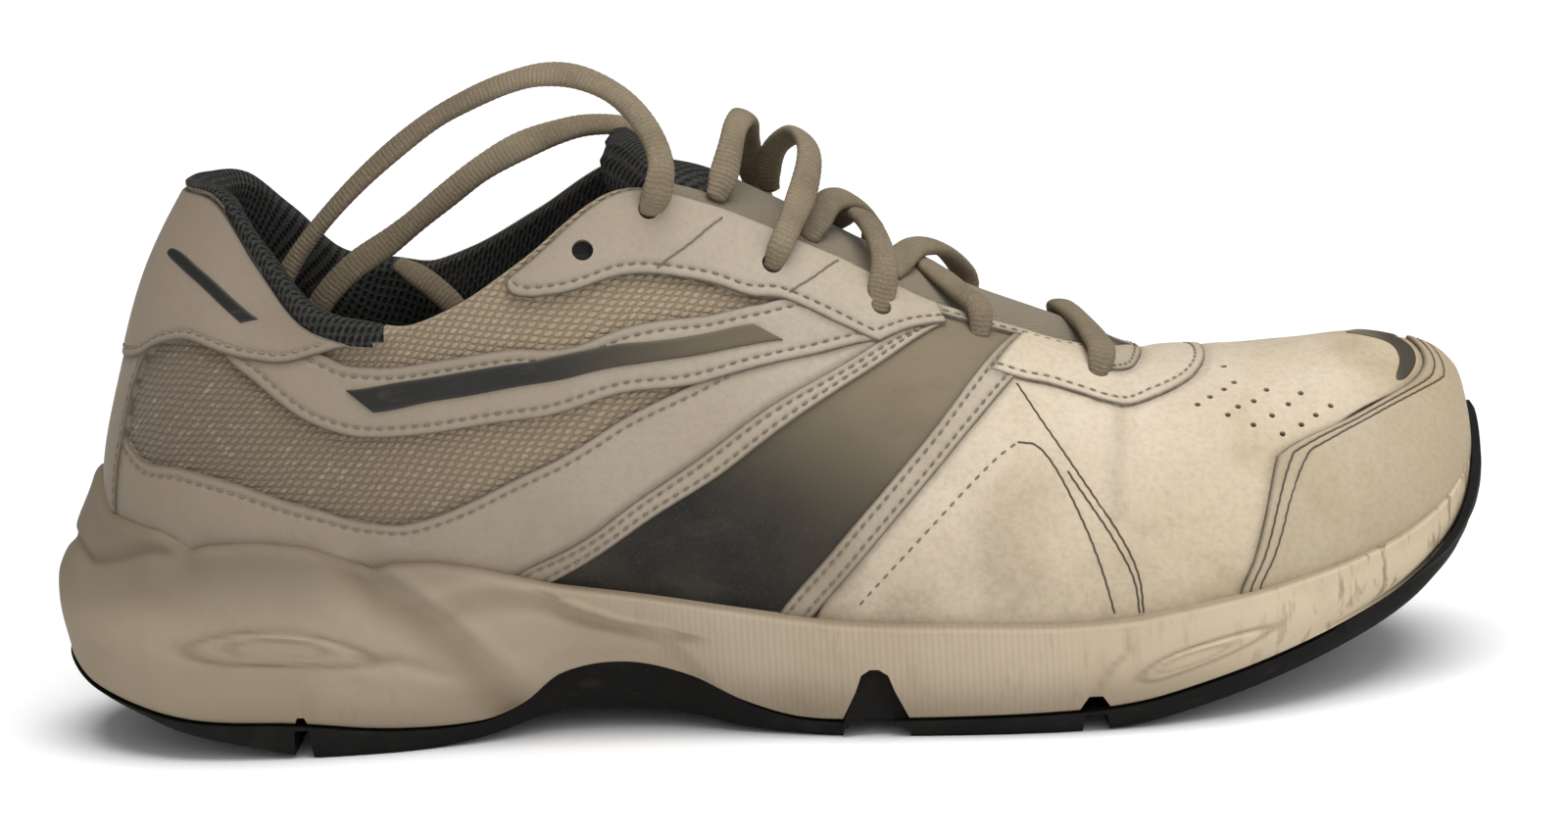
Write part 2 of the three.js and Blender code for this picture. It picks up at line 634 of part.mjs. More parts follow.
// The end from the inner side's top hole goes down inside the heel too, and its tip leans back on the lining.
const END_INNER = [
  [-21, 28.2, 109.8], [-20.6, 28, 113.5], [-22.4, 25, 117.4], [-27, 20.5, 120], [-34.7, 16, 121],
  [-40.8, 13, 120.2], [-49.1, 10, 117.7], [-57.5, 8, 113.6], [-64.9, 6, 108.6], [-76.5, 2.5, 100.5],
  [-86, -0.5, 94.5], [-93, -1, 86.5], [-94, 2.5, 77], [-86, 9, 69.5], [-74.5, 14.5, 69],
  [-66.5, 17.5, 74.5], [-65.5, 19, 81.5], [-70.5, 20.2, 87.6], [-78.5, 21.4, 93.5],
];
// The two slack loops between the second pair of holes and the throat.
const LOOP_BACK = [
  [-8.3, -16.4, 106.6], [-6.6, -14.8, 110], [-4.7, -11.5, 115.5], [-3.2, -6, 120.3], [-1.6, 0, 122],
  [-0.8, 6.5, 120.4], [-1.2, 13, 116.2], [-0.8, 19, 110.6], [0.8, 24.6, 103.6], [3.2, 27.8, 97.6],
];
const LOOP_FRONT = [
  [3.4, 14.6, 104.6], [3, 13, 109.5], [4.8, 9.4, 114.4], [8.2, 4, 117.3], [10.8, -3, 116.9], [11.7, -8, 114],
  [10.3, -14, 108.4], [7.4, -21, 102.6], [4.9, -25.4, 98.2], [3.2, -28.2, 95.6],
];
// Three crossings lower down. In each, every strand comes up out of the throat on one side and goes into the
// hole on the other.
const CROSSINGS = {
  lace_cross_back: [
    [
      [10.4, -13.6, 96.8], [12.1, -11, 100.1], [15, -6, 103.7], [18.3, 0, 103.9],
      [21.2, 6, 101.8], [23.6, 12.4, 98], [25, 19, 94], [25.2, 26, 88.6],
    ],
    [
      [15.6, 12.4, 96.4], [18.6, 5, 99.9], [22, -4, 100],
      [24.4, -12, 96.9], [25.4, -20, 91.6], [24.8, -27.2, 86.2],
    ],
  ],
  lace_cross_front: [
    [
      [26.6, 12.6, 89.8], [31.9, 5, 90], [36.4, -5, 88],
      [41, -13, 84.4], [44.4, -18.6, 81.4], [45.2, -21.8, 79],
    ],
    [
      [27, -12.4, 88.8], [29.5, -7, 91.4], [33.1, 0, 92.7], [37.5, 6, 91.7],
      [41.3, 13, 88.2], [44, 19, 83.2], [45.2, 22.4, 79.6],
    ],
  ],
  lace_bar: [
    [
      [64.4, 22.2, 72.8], [64, 15.4, 76], [64.4, 7, 77], [66, -4, 76],
      [68, -13, 73.8], [68.8, -20, 71.4], [68.6, -24, 69],
    ],
  ],
};

function crossingGeometry(strands) {
  const [first, ...others] = strands.map((points) => toSolid(laceGeometry(points, points.length + 2)));
  return toGeometry(others.reduce((joined, strand) => joined.add(strand), first));
}

// ---------------------------------------------------------------- the shoe

const shoe = new THREE.Group();
function add(name, geometry, material) {
  const mesh = new THREE.Mesh(geometry, new THREE.MeshStandardMaterial(MATERIALS[material]));
  mesh.name = name;
  shoe.add(mesh);
}

add("upper", upperGeometry(), "leather");
add("midsole", midsoleGeometry(), "foam");
add("outsole", outsoleGeometry(), "rubber");
add("insole", insoleGeometry(), "sockliner");
add("tongue", tongueGeometry(), "lining");
Object.entries(CROSSINGS).forEach(([name, strands]) => add(name, crossingGeometry(strands), "lace"));
add("lace_loop_back", laceGeometry(LOOP_BACK, LOOP_STEPS), "lace");
add("lace_loop_front", laceGeometry(LOOP_FRONT, LOOP_STEPS), "lace");
add("lace_end_outer", laceGeometry(END_OUTER, END_STEPS), "lace");
add("lace_end_inner", laceGeometry(END_INNER, END_STEPS), "lace");

export default shoe;
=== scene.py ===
"""A worn, low-cut running shoe for the right foot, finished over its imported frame.

Everything is placed on the last: a place runs round the shoe, from 0 at the back of the heel to 20 at the tip
of the toe, negative on the outer side, and a height runs from 0 at the sole to 1 at the top line. Lengths in
the tables are millimetres unless a name says otherwise.
"""

import math

import bmesh
import bpy
import numpy as np
from mathutils import Matrix, Vector
from mathutils.kdtree import KDTree


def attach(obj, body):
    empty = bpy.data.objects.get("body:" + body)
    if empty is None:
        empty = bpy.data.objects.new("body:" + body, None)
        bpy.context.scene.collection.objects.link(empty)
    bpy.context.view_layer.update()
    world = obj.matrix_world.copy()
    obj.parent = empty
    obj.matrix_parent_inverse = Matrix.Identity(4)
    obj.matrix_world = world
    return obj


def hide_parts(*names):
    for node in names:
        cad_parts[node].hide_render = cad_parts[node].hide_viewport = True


bl_info = {
    "name": "Worn running shoe",
    "version": (1, 0, 0),
    "blender": (4, 5, 0),
    "location": "3D View > Sidebar > Shoe",
    "description": "Finishes a low-cut running shoe, with its panels, laces, sole and wear",
    "category": "Add Mesh",
}

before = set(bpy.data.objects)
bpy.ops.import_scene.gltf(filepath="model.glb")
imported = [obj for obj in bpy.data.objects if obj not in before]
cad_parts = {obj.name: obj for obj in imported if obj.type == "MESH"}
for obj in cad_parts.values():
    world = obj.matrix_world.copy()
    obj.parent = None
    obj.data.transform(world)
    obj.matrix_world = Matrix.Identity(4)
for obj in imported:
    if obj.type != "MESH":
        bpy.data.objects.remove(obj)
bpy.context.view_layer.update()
MM = 0.001

# ---------------------------------------------------------------- the last

LENGTH = 302.0
BALL_WIDTH = 103.0
HEEL_HEIGHT = 118.0
WALL = 2.5
COLLAR_PAD = 5.0
GAP = 0.3
LAST = 20
COLLAR_FRONT = 8
THROAT_FRONT = 14
TOE_SWING = 6.0
OUTER, INNER = -1, 1

# In hundredths. Feather line: of the length along, of the ball width to the outer and to the inner side, of the
# heel height up. Top line: along, half gap, up, how much lower the outer side lies. Then the handles at the
# feather line and at the top line, each in millimetres out and as a share of the rise.
SECTIONS = np.array([
    (3.5, 0.0, 0.0, 28.8, 11.3, 0.0, 97.2, 0.0, 1.5, 0.3, 16.5, 0.3),
    (4.8, 13.0, 13.0, 28.8, 11.9, 8.5, 97.4, 0.2, 3.0, 0.3, 13.5, 0.3),
    (8.4, 23.5, 23.0, 28.5, 14.2, 15.5, 96.4, 1.0, 5.0, 0.3, 9.5, 0.32),
    (12.8, 29.0, 28.0, 28.2, 16.8, 22.0, 88.4, 3.0, 6.0, 0.32, 6.5, 0.34),
    (18.0, 31.5, 30.0, 27.5, 20.0, 28.0, 79.0, 4.0, 6.0, 0.34, 3.5, 0.35),
    (23.5, 32.0, 29.5, 26.4, 24.6, 31.5, 76.8, 4.8, 6.0, 0.35, 3.0, 0.35),
    (29.5, 32.0, 28.0, 24.7, 29.2, 32.0, 79.6, 4.8, 6.5, 0.35, 4.0, 0.35),
    (35.5, 32.5, 27.3, 22.7, 34.4, 30.0, 86.4, 3.8, 7.0, 0.35, 7.0, 0.33),
    (41.5, 34.0, 28.0, 20.5, 41.0, 24.0, 95.6, 2.0, 7.5, 0.36, 10.0, 0.28),
    (48.0, 37.0, 30.5, 18.3, 47.4, 20.5, 91.6, 1.8, 6.0, 0.38, 12.5, 0.2),
    (55.0, 40.7, 35.0, 16.4, 54.7, 18.0, 81.6, 1.6, 5.0, 0.4, 14.5, 0.14),
    (62.0, 44.0, 40.5, 15.1, 61.9, 15.5, 71.2, 1.2, 4.0, 0.42, 16.5, 0.1),
    (68.2, 46.0, 45.0, 14.4, 68.4, 13.0, 64.2, 0.8, 4.0, 0.45, 18.5, 0.07),
    (72.8, 46.2, 47.0, 14.6, 72.8, 9.5, 60.2, 0.4, 4.0, 0.47, 22.0, 0.03),
    (75.6, 45.6, 47.4, 15.1, 75.7, 0.0, 58.0, 0.0, 4.0, 0.48, 27.5, 0.0),
    (81.0, 42.6, 46.5, 16.6, 81.2, 0.0, 57.8, 0.0, 4.5, 0.5, 27.5, 0.0),
    (86.8, 36.5, 43.0, 18.9, 86.8, 0.0, 57.8, 0.0, 5.0, 0.52, 25.0, 0.0),
    (92.0, 27.5, 36.0, 22.0, 91.6, 0.0, 57.9, 0.0, 5.0, 0.52, 20.0, 0.0),
    (95.8, 16.0, 26.5, 25.6, 95.8, 0.0, 55.6, 0.0, 4.5, 0.5, 13.0, 0.0),
    (98.0, 5.5, 16.5, 28.6, 98.1, 0.0, 51.2, 0.0, 3.0, 0.45, 6.0, 0.0),
    (98.6, -6.0, 6.0, 30.2, 98.8, 0.0, 46.4, 0.0, 1.2, 0.4, 0.0, 0.0),
])


def ease(share):
    share = np.clip(share, 0.0, 1.0)
    return share * share * (3.0 - 2.0 * share)


def mix(first, second, share):
    return first + (second - first) * share


def hump(value, centre, reach):
    """1 at the centre, falling softly to 0 at the reach to either side."""
    return ease(1.0 - np.abs(value - centre) / reach)


def curve(a, b, c, d, f):
    """A smooth curve through four values, read between the second and the third."""
    cube = 3.0 * b - a - 3.0 * c + d
    return b + 0.5 * ((c - a) * f + (2.0 * a - 5.0 * b + 4.0 * c - d) * f**2 + cube * f**3)


def between(rows, at, before, after):
    """Rows of numbers read at broken row numbers, on a smooth curve through them."""
    padded = np.vstack([before, rows, after])
    at = np.clip(at, 0.0, len(rows) - 1.0)
    i = np.minimum(at.astype(int), len(rows) - 2)
    return curve(*(padded[i + k] for k in range(4)), (at - i)[:, None])


def side_rows(side):
    """The sections of one side: feather point, top point, handles, swing of the toe, drop of the outer side."""
    table = SECTIONS / 100.0
    rows = np.zeros((LAST + 1, 12))
    rows[:, 0] = (table[:, 0] - 0.5) * LENGTH
    rows[:, 1] = (-table[:, 1] if side == OUTER else table[:, 2]) * BALL_WIDTH
    rows[:, 2] = table[:, 3] * HEEL_HEIGHT
    rows[:, 3] = (table[:, 4] - 0.5) * LENGTH
    rows[:, 4] = side * table[:, 5] * BALL_WIDTH
    rows[:, 5] = table[:, 6] * HEEL_HEIGHT
    rows[:, 6:10] = SECTIONS[:, 8:12]
    past = np.maximum(0.0, np.arange(LAST + 1) - THROAT_FRONT) / (LAST - THROAT_FRONT)
    rows[:, 10] = past * TOE_SWING / 100.0 * BALL_WIDTH
    rows[:, 11] = table[:, 7] * HEEL_HEIGHT if side == OUTER else 0.0
    return rows


SIDES = {side: side_rows(side) for side in (OUTER, INNER)}


def wrap(place):
    place = np.where(place > LAST, place - 2 * LAST, place)
    return np.where(place < -LAST, place + 2 * LAST, place)


def section(place):
    """Feather points, top points, handles, sides and stations at places round the shoe."""
    signed = wrap(np.atleast_1d(np.asarray(place, dtype=float)))
    side = np.where(signed < 0.0, OUTER, INNER)
    station = np.abs(signed)
    rows = np.zeros((len(signed), 12))
    for one in (OUTER, INNER):
        on = side == one
        rows[on] = between(SIDES[one], station[on], SIDES[-one][1], SIDES[-one][LAST - 1])
    is_open = station < THROAT_FRONT
    gap = np.where(is_open, np.maximum(0.0, side * rows[:, 4]), 0.0)
    top = np.stack([rows[:, 3], side * gap + rows[:, 10], rows[:, 5]], axis=1)
    top[:, 2] -= np.where(is_open, np.maximum(0.0, rows[:, 11]), 0.0)
    down = np.where(is_open, rows[:, 9], 0.0)
    return rows[:, 0:3], top, (rows[:, 6], rows[:, 7], rows[:, 8], down), side, station


SLOPE = 1e-3


def unit(vectors):
    return vectors / np.maximum(np.linalg.norm(vectors, axis=1, keepdims=True), 1e-9)


def outward(place):
    """Level directions straight out of the feather line."""
    run = section(place + SLOPE)[0] - section(place - SLOPE)[0]
    return unit(np.stack([-run[:, 1], run[:, 0], np.zeros(len(run))], axis=1))


def profile(place):
    """The four points that each section's curve runs between, from the feather line to the top line."""
    foot, top, (out1, up1, out2, down2), side, _ = section(place)
    out = outward(place)
    rise = top[:, 2] - foot[:, 2]
    fan = ease((-55.0 - foot[:, 0]) / 45.0)[:, None]
    sideways = np.zeros_like(out)
    sideways[:, 1] = side
    lean = unit(mix(sideways, out, fan))
    low = foot + out * out1[:, None]
    low[:, 2] = foot[:, 2] + rise * up1
    high = top + lean * out2[:, None]
    high[:, 2] = top[:, 2] - rise * down2
    return foot, low, high, top


def skin(place, height):
    """Points in millimetres on the outer face of the upper."""
    h = height[:, None]
    a, b, c, d = profile(place)
    return a * (1 - h) ** 3 + 3 * b * h * (1 - h) ** 2 + 3 * c * h**2 * (1 - h) + d * h**3


def skin_normal(place, height):
    h = height[:, None]
    a, b, c, d = profile(place)
    up = (b - a) * (1 - h) ** 2 + (c - b) * 2 * h * (1 - h) + (d - c) * h**2
    along = skin(place + SLOPE, height) - skin(place - SLOPE, height)
    return unit(np.cross(up, along))


def thickness(place, height):
    station = np.abs(wrap(place))
    return WALL + COLLAR_PAD * ease((COLLAR_FRONT + 0.9 - station) / 1.6) * hump(height, 0.86, 0.42)


# Soft folds that walking has pressed into the upper: points along each, how wide, and how deep (a ridge is
# negative).
CREASES = [
    ([(66, -30, 62), (66.4, -36, 56), (66, -40.5, 50), (65, -43.5, 44)], 1.5, 0.55),
    ([(69.5, -30, 62), (70, -36, 56), (69.6, -40.5, 50)], 2.6, -0.35),
    ([(74, -20, 66), (80, 0, 69), (79, 22, 64), (74, 36, 54)], 2.4, 0.5),
    ([(58, 33, 60), (56, 40, 50), (52, 44, 40)], 2.2, 0.6),
    ([(86, -16, 66), (91, 2, 68.5), (90, 20, 65)], 3.2, 0.4),
    ([(62, 38, 56), (66, 42, 48), (68, 46, 38)], 2.6, 0.5),
    ([(-58, -36, 60), (-46, -37, 64), (-30, -37, 66)], 4.0, 0.5),
    ([(-96, -32, 62), (-84, -35, 60), (-70, -36.5, 62)], 6.0, 0.5),
    ([(20, -35, 70), (28, -38, 60), (34, -41, 50)], 5.0, 0.45),
    ([(-104, -27, 88), (-96, -28, 84), (-88, -30, 84)], 4.5, 0.4),
    ([(108, -24, 60), (116, -20, 60), (124, -10, 63)], 7.0, 0.5),
    ([(-14, -34, 82), (2, -33, 80), (16, -32, 76)], 3.5, 0.35),
    ([(-22, -31, 95), (-10, -28, 97), (6, -25, 92)], 5.0, 0.35),
]


def runs_beside(points, line):
    """For each straight run of a line: how far points lie from it, its start and its direction."""
    for a, b in zip(line, line[1:]):
        run = b - a
        if run @ run > 1e-12:
            share = np.clip(((points - a) @ run) / (run @ run), 0.0, 1.0)
            yield np.linalg.norm(points - a - share[:, None] * run, axis=1), a, run


def crease_depth(points):
    """How far the skin is pressed in at points in millimetres."""
    depth = np.zeros(len(points))
    for line, width, deep in CREASES:
        nearest = np.minimum.reduce([gap for gap, _, _ in runs_beside(points, np.array(line, dtype=float))])
        depth += deep * np.exp(-((nearest / width) ** 2))
    return depth


def unevenness(points):
    """Slow swells of a few tenths of a millimetre, as old leather has over its lining."""
    x, y, z = (points / 10.0).T
    swell = np.sin(0.9 * x + 1.3 * z) + np.sin(1.7 * z - 0.8 * x + 0.6 * y) + 0.7 * np.sin(2.1 * x + 1.1 * y)
    return 0.13 * swell + 0.07 * np.sin(3.6 * x - 2.9 * z + 1.2 * y)


def on_last(place, height, lift):
    """Points in metres at places and heights, lifted off the worn skin."""
    place = np.asarray(place, dtype=float)
    height = np.asarray(height, dtype=float)
    points = skin(place, height)
    worn = lift + ease(height / 0.12) * (unevenness(points) - crease_depth(points))
    return (points + skin_normal(place, height) * np.reshape(worn, (-1, 1))) * MM


# ---------------------------------------------------------------- lines and grids


def smooth_run(points, scale, count=14):
    """A run of points made dense, on a curve that bends evenly however far apart they lie."""
    points = np.array(points, dtype=float)
    if len(points) == 2:
        return mix(points[0], points[1], np.linspace(0.0, 1.0, count)[:, None])
    padded = np.vstack([2 * points[0] - points[1], points, 2 * points[-1] - points[-2]])
    pieces = []
    for quad in zip(padded, padded[1:], padded[2:], padded[3:]):
        gaps = [max(np.linalg.norm((q - p) * scale) ** 0.5, 1e-6) for p, q in zip(quad, quad[1:])]
        t0, t1, t2, t3 = np.cumsum([0.0, *gaps])
        t = np.linspace(t1, t2, count)[:, None]
        a, b, c, d = quad
        ab = (t1 - t) / (t1 - t0) * a + (t - t0) / (t1 - t0) * b
        bc = (t2 - t) / (t2 - t1) * b + (t - t1) / (t2 - t1) * c
        cd = (t3 - t) / (t3 - t2) * c + (t - t2) / (t3 - t2) * d
        abc = (t2 - t) / (t2 - t0) * ab + (t - t0) / (t2 - t0) * bc
        bcd = (t3 - t) / (t3 - t1) * bc + (t - t1) / (t3 - t1) * cd
        pieces.append((t2 - t) / (t2 - t1) * abc + (t - t1) / (t2 - t1) * bcd)
    return np.vstack(pieces)


def run_length(points, scale=1.0):
    """How far along a run of points each of them lies."""
    steps = np.linalg.norm(np.diff(points, axis=0) * scale, axis=1)
    return np.concatenate([[0.0], np.cumsum(steps)])


def read_along(where, far, rows):
    """Rows of numbers read at distances along a run."""
    return np.stack([np.interp(where, far, column) for column in rows.T], axis=1)


class Line:
    """A smooth line through points. A point given twice makes a corner."""

    def __init__(self, points, scale=(1.0, 1.0, 1.0)):
        scale = np.array(scale[: len(points[0])])
        runs = [[points[0]]]
        for point in points[1:]:
            if tuple(point) == tuple(runs[-1][-1]):
                runs.append([point])
            else:
                runs[-1].append(point)
        self.dense = np.vstack([smooth_run(run, scale) for run in runs if len(run) > 1])
        self.far = run_length(self.dense, scale)
        self.length = self.far[-1]

    def at(self, share):
        """Points at shares of the length."""
        return read_along(np.clip(share, 0.0, 1.0) * self.length, self.far, self.dense)


def grid(columns, rows):
    """A flat grid of vertices, with each one's column and row number."""
    bm = bmesh.new()
    bmesh.ops.create_grid(bm, x_segments=columns - 1, y_segments=rows - 1, size=0.5)
    flat = np.array([v.co for v in bm.verts])
    i = np.rint((flat[:, 0] + 0.5) * (columns - 1)).astype(int)
    j = np.rint((flat[:, 1] + 0.5) * (rows - 1)).astype(int)
    return bm, i, j


def move_to(bm, points):
    for vertex, point in zip(bm.verts, points.tolist()):
        vertex.co = point


def note(bm, name, values):
    """Keeps a number or a vector for each vertex, which a material reads as an attribute."""
    vector = np.ndim(values) == 2
    layers = bm.verts.layers.float_vector if vector else bm.verts.layers.float
    layer = layers.get(name) or layers.new(name)
    for vertex, value in zip(bm.verts, np.asarray(values).tolist()):
        vertex[layer] = value


def note_chart(bm, along, up):
    """Keeps where each vertex lies on its piece, in millimetres, for patterns that follow the piece."""
    note(bm, "chart", np.column_stack([along, up, np.zeros(len(along))]))


def finish_piece(bm, name, material, sharp=55.0, outside=True):
    """Makes the object, with its normals outward, its finish and its body."""
    if outside:
        bmesh.ops.recalc_face_normals(bm, faces=bm.faces)
    mesh = bpy.data.meshes.new(name)
    for face in bm.faces:
        face.smooth = True
    bm.to_mesh(mesh)
    bm.free()
    mesh.set_sharp_from_angle(angle=math.radians(sharp))
    mesh.materials.append(material)
    piece = bpy.data.objects.new(name, mesh)
    bpy.context.scene.collection.objects.link(piece)
    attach(piece, "root")
    return piece


def weld(bm):
    """Merges what meets, and clears away faces with no size."""
    bmesh.ops.remove_doubles(bm, verts=bm.verts, dist=2e-6)
    bmesh.ops.dissolve_degenerate(bm, dist=1e-7, edges=bm.edges)


def close_ends(bm):
    bmesh.ops.holes_fill(bm, edges=[edge for edge in bm.edges if edge.is_boundary], sides=0)


# ---------------------------------------------------------------- finishes


class Value:
    """A shader value that adds, subtracts and multiplies like a number."""

    def __init__(self, finish, output):
        self.finish = finish
        self.output = output

    def combine(self, operation, other, flipped=False):
        first, second = (other, self) if flipped else (self, other)
        return self.finish.node("ShaderNodeMath", {"operation": operation}, {0: first, 1: second})

    def __add__(self, other):
        return self.combine("ADD", other)

    def __sub__(self, other):
        return self.combine("SUBTRACT", other)

    def __rsub__(self, other):
        return self.combine("SUBTRACT", other, flipped=True)

    def __mul__(self, other):
        return self.combine("MULTIPLY", other)

    __radd__ = __add__
    __rmul__ = __mul__

    def sine(self):
        return self.combine("SINE", 0.0)

    def fraction(self):
        return self.combine("FRACT", 0.0)

    def clear(self, low, high):
        """0 below low and 1 above high, soft between; the other way round where high is the lower."""
        return self.finish.node(
            "ShaderNodeMapRange",
            {"interpolation_type": "SMOOTHSTEP"},
            {"Value": self, "From Min": low, "From Max": high},
        )


class Finish:
    """A material and the nodes that vary it over a surface."""

    def __init__(self, name, roughness=0.6, **constants):
        self.material = bpy.data.materials.new(name)
        self.material.use_nodes = True
        self.tree = self.material.node_tree
        self.shader = self.tree.nodes["Principled BSDF"]
        self.shader.inputs["Roughness"].default_value = roughness
        for socket, value in constants.items():
            self.shader.inputs[socket.replace("_", " ")].default_value = value
        self.object = self.node("ShaderNodeTexCoord", output="Object")

    def node(self, kind, settings=None, inputs=None, output=0):
        made = self.tree.nodes.new(kind)
        for key, value in (settings or {}).items():
            setattr(made, key, value)
        for key, value in (inputs or {}).items():
            if isinstance(value, Value):
                self.tree.links.new(value.output, made.inputs[key])
            else:
                made.inputs[key].default_value = value
        return Value(self, made.outputs[output])

    def attribute(self, name, output="Fac"):
        return self.node("ShaderNodeAttribute", {"attribute_name": name}, output=output)

    def apart(self, vector):
        split = self.tree.nodes.new("ShaderNodeSeparateXYZ")
        self.tree.links.new(vector.output, split.inputs[0])
        return [Value(self, socket) for socket in split.outputs]

    def noise(self, scale, detail=3.0, roughness=0.55, vector=None, distortion=0.0):
        inputs = {"Vector": vector or self.object, "Scale": scale, "Detail": detail}
        inputs.update({"Roughness": roughness, "Distortion": distortion})
        return self.node("ShaderNodeTexNoise", inputs=inputs)

    def stretched(self, scale, turn=(0.0, 0.0, 0.0)):
        inputs = {"Vector": self.object, "Scale": scale, "Rotation": turn}
        return self.node("ShaderNodeMapping", inputs=inputs)

    def blend(self, share, first, second, way="MIX"):
        """Colours mixed by a share from 0 to 1."""
        settings = {"data_type": "RGBA", "blend_type": way}
        return self.node("ShaderNodeMix", settings, {0: share, 6: first, 7: second}, output=2)

    def over(self, colour, *layers):
        """A colour with others laid over it, each a share and its red, green and blue."""
        for share, *tint in layers:
            colour = self.blend(share, colour, paint(*tint))
        return colour

    def relief(self, *layers):
        """Bumps laid over one another, each a height, a strength and a depth in metres."""
        normal = None
        for height, strength, depth in layers:
            inputs = {"Height": height, "Strength": strength, "Distance": depth}
            if normal:
                inputs["Normal"] = normal
            normal = self.node("ShaderNodeBump", inputs=inputs)
        return normal

    def feed(self, **sockets):
        for name, value in sockets.items():
            self.tree.links.new(value.output, self.shader.inputs[name.replace("_", " ")])
        return self.material


def paint(red, green, blue):
    return (red, green, blue, 1.0)


def slanted_rows(row, along, slant):
    """Across and up in each cell of close rows that lean, every row half a cell past the one below it."""
    column = along + (row - row.fraction()) * 0.5
    across, rise = ((value.fraction() - 0.5) * 2.0 for value in (column, row))
    return across + rise * slant, rise


def soiled(finish, colour, strength=1.0):
    """Dirt rubbed in near the sole behind the ball of the foot, and darkening kept on each vertex: dirt and painted
    shade along seams, edges, creases and hollows.
    """
    x, _, z = finish.apart(finish.object)
    patches = finish.noise(38.0, 5.0, 0.62)
    grain = finish.noise(420.0, 3.0, 0.7)
    low = z.clear(0.062, 0.022) * (1.0 - x.clear(0.03, 0.1) * 0.85)
    rubbed = low * patches.clear(0.42, 0.7) * 0.5 * strength
    # Dirt and painted shade kept on each vertex: dark edges, seam grooves, creases and the shade under overlapping
    # pieces.
    seams = finish.attribute("dirt_and_shade") * (0.62 + grain * 0.6) * strength
    return finish.over(colour, (rubbed, 0.13, 0.096, 0.058), (seams, 0.06, 0.047, 0.031))


def leather_finish(name, clean, aged):
    """Worn smooth leather: darker and greyer towards the heel as painted shade, yellow and stained towards the toe."""
    finish = Finish(name, 0.55, Specular_IOR_Level=0.38)
    x, _, _ = finish.apart(finish.object)
    clouds = finish.noise(17.0, 4.0, 0.55)
    blots = finish.noise(34.0, 5.0, 0.6, distortion=0.35)
    speck = finish.noise(800.0, 2.0, 0.6)
    colour = finish.blend(clouds.clear(0.32, 0.68) * 0.6, clean, aged)
    # Painted shade: the heel end darkened and greyed, fading out towards the toe.
    heel_shade_colour = finish.blend(1.0, colour, paint(0.6, 0.57, 0.56), "MULTIPLY")
    colour = finish.blend(x.clear(-0.13, 0.07), heel_shade_colour, colour)
    warm = x.clear(0.0, 0.1)
    colour = finish.over(
        colour,
        (warm * clouds.clear(0.3, 0.6) * 0.5, 0.45, 0.365, 0.225),
        (blots.clear(0.5, 0.68) * 0.6 * (warm * 0.55 + 0.15), 0.32, 0.235, 0.125),
        (x.clear(0.112, 0.145) * 0.6, 0.39, 0.3, 0.18),
        (speck.clear(0.35, 0.75) * 0.2, 0.2, 0.165, 0.115),
    )
    inputs = {"Vector": finish.object, "Scale": 1150.0}
    pores = finish.node("ShaderNodeTexVoronoi", {"feature": "F1"}, inputs, "Distance")
    wrinkles = finish.noise(210.0, 4.0, 0.6, distortion=0.6)
    return finish.feed(
        Base_Color=soiled(finish, colour),
        Roughness=0.44 + finish.noise(60.0, 4.0) * 0.26,
        Normal=finish.relief((pores, 0.10, 0.0004), (wrinkles, 0.22, 0.0007)),
    )


def stripe_finish(name, dark, worn):
    """Thin coated leather, dark where it is low and rubbed to olive brown towards the throat."""
    finish = Finish(name, 0.5, Specular_IOR_Level=0.25)
    x, _, z = finish.apart(finish.object)
    speck = finish.noise(1500.0, 3.0, 0.75)
    streak = finish.noise(70.0, 5.0, 0.65, finish.stretched((1.0, 1.0, 2.2), (0.0, 0.7, 0.0)))
    colour = finish.over(
        finish.blend((x * 0.62 + z).clear(0.036, 0.092), dark, worn),
        (streak.clear(0.45, 0.8) * 0.3, 0.055, 0.048, 0.033),
        (speck.clear(0.5, 0.8) * 0.3, 0.1, 0.09, 0.066),
    )
    return finish.feed(
        Base_Color=soiled(finish, colour, 0.4),
        Roughness=0.55 + finish.noise(50.0, 3.0) * 0.25,
        Normal=finish.relief((speck, 0.16, 0.0003)),
    )


def knit_finish(name):
    """Coarse spacer mesh: rows of slanted loops, each painted lighter, with painted shade in the gaps between them."""
    finish = Finish(name, 0.85, Sheen_Weight=0.15)
    along, up, _ = finish.apart(finish.attribute("chart", "Vector"))
    wander = finish.noise(90.0, 2.0) * 1.1
    slanted, rise = slanted_rows(up * (1.0 / 1.42) + wander, along * (1.0 / 1.9) + wander * 0.5, 0.55)
    loop = (1.0 - (slanted * slanted * 0.9 + rise * rise * 0.75)).clear(0.0, 0.9)
    strands = finish.noise(2600.0, 2.0, 0.7, finish.stretched((1.0, 1.0, 0.35)))
    flecks = finish.noise(520.0, 2.0, 0.5).clear(0.56, 0.7) * loop
    x, _, z = finish.apart(finish.object)
    # Darker towards the heel and towards the sole: painted shade.
    rear, front = paint(0.138, 0.102, 0.069), paint(0.325, 0.255, 0.17)
    tint = finish.blend((x + z * 0.8).clear(-0.09, 0.04), rear, front)
    colour = finish.over(
        # Painted shade in the gaps between the loops, which stay lighter.
        finish.blend(loop, finish.blend(1.0, tint, paint(0.68, 0.65, 0.6), "MULTIPLY"), tint),
        (flecks * 0.35, 0.42, 0.36, 0.28),
        (strands.clear(0.4, 0.75) * 0.25, 0.13, 0.1, 0.07),
    )
    return finish.feed(
        # Near black under each lace hole and perforation: painted shade seen through the hole.
        Base_Color=finish.over(soiled(finish, colour, 0.8), (finish.attribute("hole"), 0.01, 0.009, 0.008)),
        Normal=finish.relief((loop, 0.65, 0.0006), (strands, 0.25, 0.0002)),
    )


